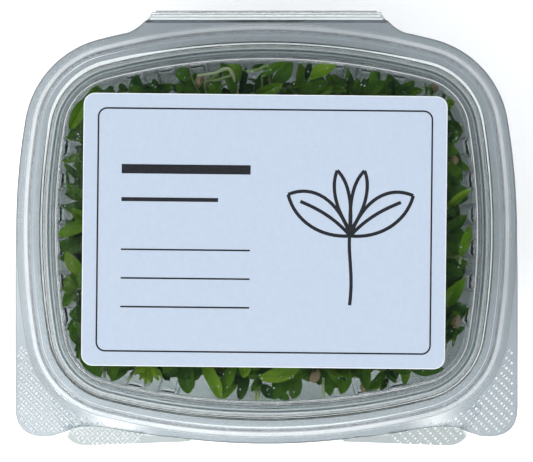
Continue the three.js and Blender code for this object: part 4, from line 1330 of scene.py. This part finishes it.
def cell_of(point):
    return next(cell for cell in CELLS if cell[1] <= point.x <= cell[2] and cell[3] <= point.y <= cell[4])


def add_shown(heaps):
    """The leaves beside the label, with the same chance as the solids'."""
    for cell in CELLS:
        chance = Chance(cell[5])
        looks = Chance(cell[5] + 100)
        heap = heaps[cell[0]]
        for row in SHOWN_LEAVES:
            leaf = shown_leaf(row, chance)
            if in_cell(leaf["tip"], cell) and settle(leaf):
                draw_form(leaf, looks, SHOWN_FORM)
                shade = LEVEL_SHADES[leaf["level"]] + looks.between(-0.10, 0.07)
                # Painted light, lighter towards the front and right
                shade += LIGHTER_TO_THE_FRONT * (row[1] - PICTURE_CENTRE[1])
                shade += LIGHTER_TO_THE_RIGHT * (row[0] - PICTURE_CENTRE[0])
                add_blade(heap, leaf, shade, 14, 8)
                heap.wet(leaf, looks)
        for row in SHOWN_FANS:
            leaf = shown_leaf(row, chance)
            if in_cell(leaf["tip"], cell) and settle(leaf):
                add_fan(heap, leaf, LEVEL_SHADES[leaf["level"]] + 0.04)
        for x0, y0, x1, y1, level in SHOWN_STEMS:
            leaf = shown_leaf([x0, y0, x1, y1, 4, level], chance)
            if in_cell(leaf["tip"], cell) and settle(leaf):
                middle = leaf["base"].lerp(leaf["tip"], 0.5) + Vector((0, 0, 0.7))
                add_stem(heap, [leaf["root"], leaf["base"], middle, leaf["tip"]], 0.55, 0.4,
                         looks.between(0.35, 0.85), steps=6)


def draw_form(leaf, chance, ranges):
    """Draws the values of a leaf's form, in the order given."""
    for key, (low, high) in ranges.items():
        leaf[key] = chance.between(low, high)


SHOWN_FORM = {"wave": (0.3, 1.2), "twist": (-0.6, 0.6), "fold": (0.05, 0.55), "bow": (-0.6, 0.6)}
LOOSE_FORM = {"width": (3.9, 5.6), "arch": (-0.4, 1.4), "cup": (0.1, 0.9), "wave": (0.1, 1.0),
              "twist": (-0.9, 0.9), "fold": (0.0, 0.5), "bow": (-1.0, 1.0)}
MARGIN_FORM = {"width": (3.4, 5.2), "arch": (0.0, 1.2), "cup": (0.1, 0.7), "wave": (0.2, 1.0),
               "twist": (-0.7, 0.7), "fold": (0.0, 0.4), "bow": (-0.8, 0.8)}


def loose_leaf(chance, base, normal, lift_low, lift_high, face_spread=0.5):
    """A leaf that stands out of the heap's surface at a slant."""
    first = Vector((1, 0, 0)) if abs(normal.z) > 0.5 else Vector((0, 0, 1))
    second = normal.cross(first).normalized()
    first = second.cross(normal)
    spin = chance.between(0, 2 * math.pi)
    heading = first * math.cos(spin) + second * math.sin(spin)
    length = chance.between(9.5, 15)
    lift = chance.between(lift_low, lift_high)
    leaf = {"base": base, "tip": base + heading * length * math.cos(lift) + normal * length * math.sin(lift)}
    leaf["root"] = base - heading * 2.5 - normal * 3.0
    slip = second * chance.between(-face_spread, face_spread)
    slip += first * chance.between(-face_spread, face_spread)
    leaf["face"] = (normal + slip).normalized()
    draw_form(leaf, chance, LOOSE_FORM)
    return leaf


def leaf_is_clear(leaf):
    return fits(outline_points(leaf)) and fits([leaf["base"]])


def add_top_leaves(heaps, wanted, seed):
    """Leaves all over the heap's top, lying under the lid's panel."""
    chance = Chance(seed)
    made = 0
    while made < wanted:
        x, y = chance.between(-52, 52), chance.between(-42, 42)
        depth = chance.random()
        if plan.offset_of(x, y) > -9.5:
            continue
        base = Vector((x, y, tangle_height(x, y) - 0.6 + 2.6 * depth))
        leaf = loose_leaf(chance, base, Vector((0, 0, 1)), 0.0, 0.42)
        if leaf_is_clear(leaf):
            # Painted shade: leaves lower in the heap are darker
            shade = 0.16 + 0.5 * depth + chance.between(-0.1, 0.16)
            add_blade(heaps[cell_of(base)[0]], leaf, min(0.95, shade), 9, 4)
            made += 1


def add_margin_leaves(heaps, wanted, seed):
    """Low leaves that fill the ring between the label and the wall, few of them in front."""
    chance = Chance(seed)
    made, tries = 0, 0
    while made < wanted and tries < wanted * 40:
        tries += 1
        p, n = SHEET_OUTLINE[int(chance.random() * len(SHEET_OUTLINE))]
        depth = chance.random()
        in_front = n.y < -0.6
        base = Vector((p.x + n.x * -9.5, p.y + n.y * -9.5, 54.6 + 2.6 * depth))
        turn = chance.between(-1.1, 1.1)
        length = chance.between(6.0, 11.0)
        heading = Vector((n.x * math.cos(turn) - n.y * math.sin(turn),
                          n.x * math.sin(turn) + n.y * math.cos(turn)))
        rise = Vector((0, 0, chance.between(-1.0, 1.6)))
        leaf = {"base": base, "tip": base + (heading * length).to_3d() + rise}
        leaf["root"] = base - heading.to_3d() * 2.0 - Vector((0, 0, 2.0))
        leaf["face"] = Vector((chance.between(-0.4, 0.4), chance.between(-0.4, 0.4), 1)).normalized()
        draw_form(leaf, chance, MARGIN_FORM)
        # Painted shade: leaves lower in the heap are darker
        shade = 0.26 + 0.3 * depth + chance.between(-0.06, 0.12)
        if leaf_is_clear(leaf) and not (in_front and chance.random() < 0.8):
            add_blade(heaps[cell_of(base)[0]], leaf, shade, 9, 4)
            made += 1


def wall_place(chance, low, high, outward):
    """A place and normal on the heap's side."""
    p, n = SHEET_OUTLINE[int(chance.random() * len(SHEET_OUTLINE))]
    z = chance.between(low, high)
    d = tangle_offset(z) + outward
    return Vector((p.x + n.x * d, p.y + n.y * d, z)), Vector((n.x, n.y, 0))


def add_side_leaves(heaps, wanted, seed):
    chance = Chance(seed)
    made, tries = 0, 0
    while made < wanted and tries < wanted * 40:
        tries += 1
        depth = chance.random()
        base, normal = wall_place(chance, 5, 55, -0.6 + 1.6 * depth)
        leaf = loose_leaf(chance, base, normal, 0.0, 0.3)
        if leaf_is_clear(leaf):
            # Painted shade: leaves further into the heap and lower down are darker
            shade = 0.24 + 0.3 * depth + 0.22 * (base.z / 55) + chance.between(-0.08, 0.2)
            add_blade(heaps[cell_of(base)[0]], leaf, min(0.95, shade), 9, 4)
            made += 1


def add_side_stems(heaps, wanted, seed):
    """Cut stems that run up and across the heap's side, as seen through the tray's wall."""
    chance = Chance(seed)
    made, tries = 0, 0
    count = len(SHEET_OUTLINE)
    while made < wanted and tries < wanted * 40:
        tries += 1
        start = int(chance.random() * count)
        low = chance.between(4, 38)
        lean = chance.between(-1.1, 1.1)
        length = chance.between(16, 34)
        outward = chance.between(0.2, 1.9)
        points = []
        p0, n0 = SHEET_OUTLINE[start]
        for share in (0, 0.25, 0.5, 0.75, 1.0):
            z = low + length * share * math.cos(lean)
            slip = length * (share - 0.5) * math.sin(lean)
            d = tangle_offset(z) + outward + 0.5 * math.sin(share * 5 + low)
            side = Vector((-n0.y, n0.x))
            points.append(Vector((p0.x + n0.x * d + side.x * slip, p0.y + n0.y * d + side.y * slip, z)))
        first, last = points[0].copy(), points[-1].copy()
        first.x, first.y = first.x * 0.93, first.y * 0.93
        points = [first] + points
        if points[-1].z < 56 and fits(points) and all(plan.offset_of(q.x, q.y) > tangle_offset(q.z) - 2.5
                                                      for q in points[1:]):
            add_stem(heaps[cell_of(points[2])[0]], points, 0.6, 0.42, chance.between(0.25, 1.0), steps=3)
            made += 1


def add_top_stems(heaps, wanted, seed):
    chance = Chance(seed)
    made = 0
    while made < wanted:
        x, y = chance.between(-48, 48), chance.between(-38, 38)
        turn = chance.between(0, 2 * math.pi)
        length = chance.between(14, 30)
        points = []
        for share in (-0.5, -0.25, 0, 0.25, 0.5):
            px = x + length * share * math.cos(turn) + 1.2 * math.sin(4 * share)
            py = y + length * share * math.sin(turn)
            points.append(Vector((px, py, tangle_height(px, py) + 1.6 - 6 * share ** 2)))
        if all(plan.offset_of(p.x, p.y) < -8 for p in points) and fits(points):
            add_stem(heaps[cell_of(points[2])[0]], points, 0.55, 0.4, chance.between(0.3, 1.0), steps=3)
            made += 1


def make_heart(material):
    """The middle of the heap, seen only in the gaps between leaves, dark with painted shade."""
    chance = Chance(7)
    outline = plan.outline([-20, -10, 0, 10, 20], [-30, -20, -10, 0, 10, 20, 30], 4)
    rows = [(z, offset - 1.4, 1.0) for z, offset in TANGLE_SIDE] + [(56.2, -15.0, 0.86), (57.4, -15.0, 0.5)]
    verts = []
    count = len(outline)
    for z, offset, scale in rows:
        for p, n in outline:
            swell = 1 + chance.between(-1, 1) * 0.8 / p.length
            verts.append(((p.x + n.x * offset) * scale * swell, (p.y + n.y * offset) * scale * swell,
                          z + chance.between(-0.4, 0.4)))
    faces = ring_faces(len(rows), count)
    verts.append((0, 0, 58.0))
    verts.append((0, 0, 3.0))
    for j, k in steps_round(count):
        faces.append((len(verts) - 2, (len(rows) - 1) * count + j, (len(rows) - 1) * count + k))
        faces.append((len(verts) - 1, k, j))
    heart = add_mesh("greens_heart", verts, faces, material)
    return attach(heart, "tray")


def bead(place, up, radius):
    """A flattened drop of water."""
    across = up.orthogonal().normalized()
    third = up.cross(across)
    rings, around = 4, 8
    verts = [place - up * (radius * 0.4)]
    for i in range(1, rings):
        a = math.pi * i / rings
        for j in range(around):
            b = 2 * math.pi * j / around
            verts.append(place - up * (radius * 0.4 * math.cos(a)) * (1 if i < 2 else 1.6)
                         + (across * math.cos(b) + third * math.sin(b)) * (radius * math.sin(a)))
    verts.append(place + up * (radius * 0.64))
    faces = []
    for j, k in steps_round(around):
        faces.append((0, 1 + k, 1 + j))
        for i in range(rings - 2):
            a, b = 1 + i * around, 1 + (i + 1) * around
            faces.append((a + j, a + k, b + k, b + j))
        faces.append((1 + (rings - 2) * around + j, 1 + (rings - 2) * around + k, len(verts) - 1))
    return [tuple(v) for v in verts], faces


def make_drops(heaps):
    """Water beads on the leaves and a few under the lid."""
    water = water_material()
    chance = Chance(41)
    under_lid = []
    while len(under_lid) < 70:
        x, y = chance.between(-58, 58), chance.between(-47, 47)
        if -9.5 < plan.offset_of(x, y) < -3.0:
            under_lid.append((Vector((x, y, 65.34)), Vector((0, 0, -1)), chance.between(0.1, 0.24)))
    on_leaves = [drop for heap in heaps.values() for drop in heap.beads]
    for name, body, drops in (("drops_on_leaves", "tray", on_leaves), ("drops_under_lid", "lid", under_lid)):
        verts, faces = join_parts([bead(*drop) for drop in drops])
        piece = add_mesh(name, verts, faces, water, math.radians(60))
        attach(piece, body)


def make_greens():
    heaps = {cell[0]: Heap() for cell in CELLS}
    add_shown(heaps)
    add_top_leaves(heaps, 420, 301)
    add_top_stems(heaps, 60, 302)
    add_side_leaves(heaps, 700, 303)
    add_side_stems(heaps, 380, 304)
    add_margin_leaves(heaps, 150, 305)
    material = greens_material()
    for name, heap in heaps.items():
        piece = heap.make(f"seedlings_{name}", material, "greens")
        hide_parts(f"handful_{name}")
        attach(piece, "tray")
    make_heart(heart_material())
    make_drops(heaps)


HUSK_RADIUS = 1.62
HUSK_AXES = (0.84, 0.92, 1.12)


def make_husks():
    """Seed husks: round, with fine ribs that meet at the poles and a small beak."""
    material = husk_material()
    for index, (px, py, z) in enumerate(SHOWN_HUSKS, start=1):
        x, y = plan_of(px, py)
        chance = Chance(500 + index)
        spin = Matrix.Rotation(chance.between(0, 6.28), 3, "Z")
        turn = spin @ Matrix.Rotation(chance.between(0.3, 1.6), 3, "X")
        rows, columns = 22, 48
        verts, shades = [], []
        for i in range(rows + 1):
            polar = math.pi * i / rows
            for j in range(columns):
                around = 2 * math.pi * j / columns
                wiggle = 0.35 * math.sin(3 * polar + index)
                crease = abs(math.cos(5 * (around + wiggle))) ** 0.7
                ridge = 0.18 * (crease - 0.8) * math.sin(polar)
                radius = HUSK_RADIUS * (1 + ridge + 0.12 * abs(math.cos(polar)))
                radius *= 1 + 0.12 * math.exp(-(polar / 0.25) ** 2)
                p = Vector((HUSK_AXES[0] * math.sin(polar) * math.cos(around),
                            HUSK_AXES[1] * math.sin(polar) * math.sin(around),
                            HUSK_AXES[2] * math.cos(polar))) * radius
                p = turn @ p
                verts.append((x + p.x, y + p.y, z + p.z))
                # Painted shade: the creases between the ribs are darker
                shades.append(0.55 * crease - 0.12)
        faces = [(a, d, c, b) for a, b, c, d in ring_faces(rows + 1, columns)]
        heap = Heap()
        heap.add(verts, faces, shades, [(0, 0, 0)] * len(verts))
        husk = heap.make(f"husk_{index}", material, "seed_husk")
        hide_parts(f"seed_husk_{index}")
        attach(husk, "tray")


# Setting: floor, lights and camera
CAMERA_ABOVE_PANEL = 450.0
LENS = 108.8
FLOOR_HALF = 3.0
LIGHT_BOUNCES = 32


def make_floor():
    corners = [(x * FLOOR_HALF, y * FLOOR_HALF, 0) for x, y in ((-1, -1), (1, -1), (1, 1), (-1, 1))]
    mesh = bpy.data.meshes.new("floor")
    mesh.from_pydata(corners, [], [(0, 1, 2, 3)])
    mesh.materials.append(floor_material())
    floor = bpy.data.objects.new("floor", mesh)
    bpy.context.scene.collection.objects.link(floor)


def area_light(name, place, target, size, power, colour=(1, 1, 1)):
    light = bpy.data.lights.new(name, "AREA")
    light.shape = "RECTANGLE"
    light.size, light.size_y = size
    light.energy = power
    light.color = colour
    obj = bpy.data.objects.new(name, light)
    obj.location = place
    obj.rotation_euler = (Vector(target) - Vector(place)).to_track_quat("-Z", "Y").to_euler()
    bpy.context.scene.collection.objects.link(obj)


def make_world():
    """A studio that is bright round the walls and dim overhead, where the camera stands."""
    world = bpy.data.worlds.new("studio")
    sky = Shading(world)
    tones = [(0.0, (0.86, 0.87, 0.88)), (0.35, (0.74, 0.76, 0.78)), (0.75, (0.34, 0.36, 0.38)),
             (0.95, (0.08, 0.09, 0.10))]
    up = sky.parts(sky.coords("Generated"))["Z"]
    sky.feed(sky.nodes["Background"], {"Color": sky.ramp(up, tones)})
    bpy.context.scene.world = world


RING_LIGHTS = 8
RING_REACH = 0.8
RING_HEIGHT = 0.85
RING_POWER = 1.55


def make_lights():
    aim = (0, 0, 0.05)
    area_light("panel_left", (-0.70, 0.0, 1.2), aim, (0.85, 1.1), 2.0)
    area_light("panel_front", (0.0, -0.72, 1.2), aim, (1.1, 0.85), 2.0)
    area_light("key", (-0.6, -0.6, 0.8), aim, (0.16, 0.16), 1.6, (1.0, 0.99, 0.97))
    for k in range(RING_LIGHTS):
        turn = 2 * math.pi * k / RING_LIGHTS
        place = (RING_REACH * math.cos(turn), RING_REACH * math.sin(turn), RING_HEIGHT)
        area_light(f"ring_{k}", place, aim, (0.56, 0.12), RING_POWER, (0.98, 0.99, 1.0))


def make_camera():
    camera = bpy.data.cameras.new("camera")
    camera.lens = LENS
    camera.sensor_width = 36.0
    obj = bpy.data.objects.new("camera", camera)
    obj.location = (0.0, PLAN_CENTRE_Y * MM, (PANEL_TOP_Z + CAMERA_ABOVE_PANEL) * MM)
    bpy.context.scene.collection.objects.link(obj)
    bpy.context.scene.camera = obj


make_camera()
tray_plastic = clear_plastic("tray_plastic", TRAY_TINT)
grip_and_highlight_plastic = frosted_and_highlight_plastic()
make_tray(tray_plastic, grip_and_highlight_plastic)
make_lid(clear_plastic("lid_plastic", LID_TINT), grip_and_highlight_plastic)
make_hinge_web(tray_plastic)
make_label(label_paper(), label_ink())
make_greens()
make_husks()
make_floor()
make_world()
make_lights()
bpy.context.scene.view_settings.view_transform = "Standard"
bpy.context.scene.cycles.max_bounces = LIGHT_BOUNCES
bpy.context.scene.cycles.transmission_bounces = LIGHT_BOUNCES
bpy.context.scene.cycles.transparent_max_bounces = LIGHT_BOUNCES
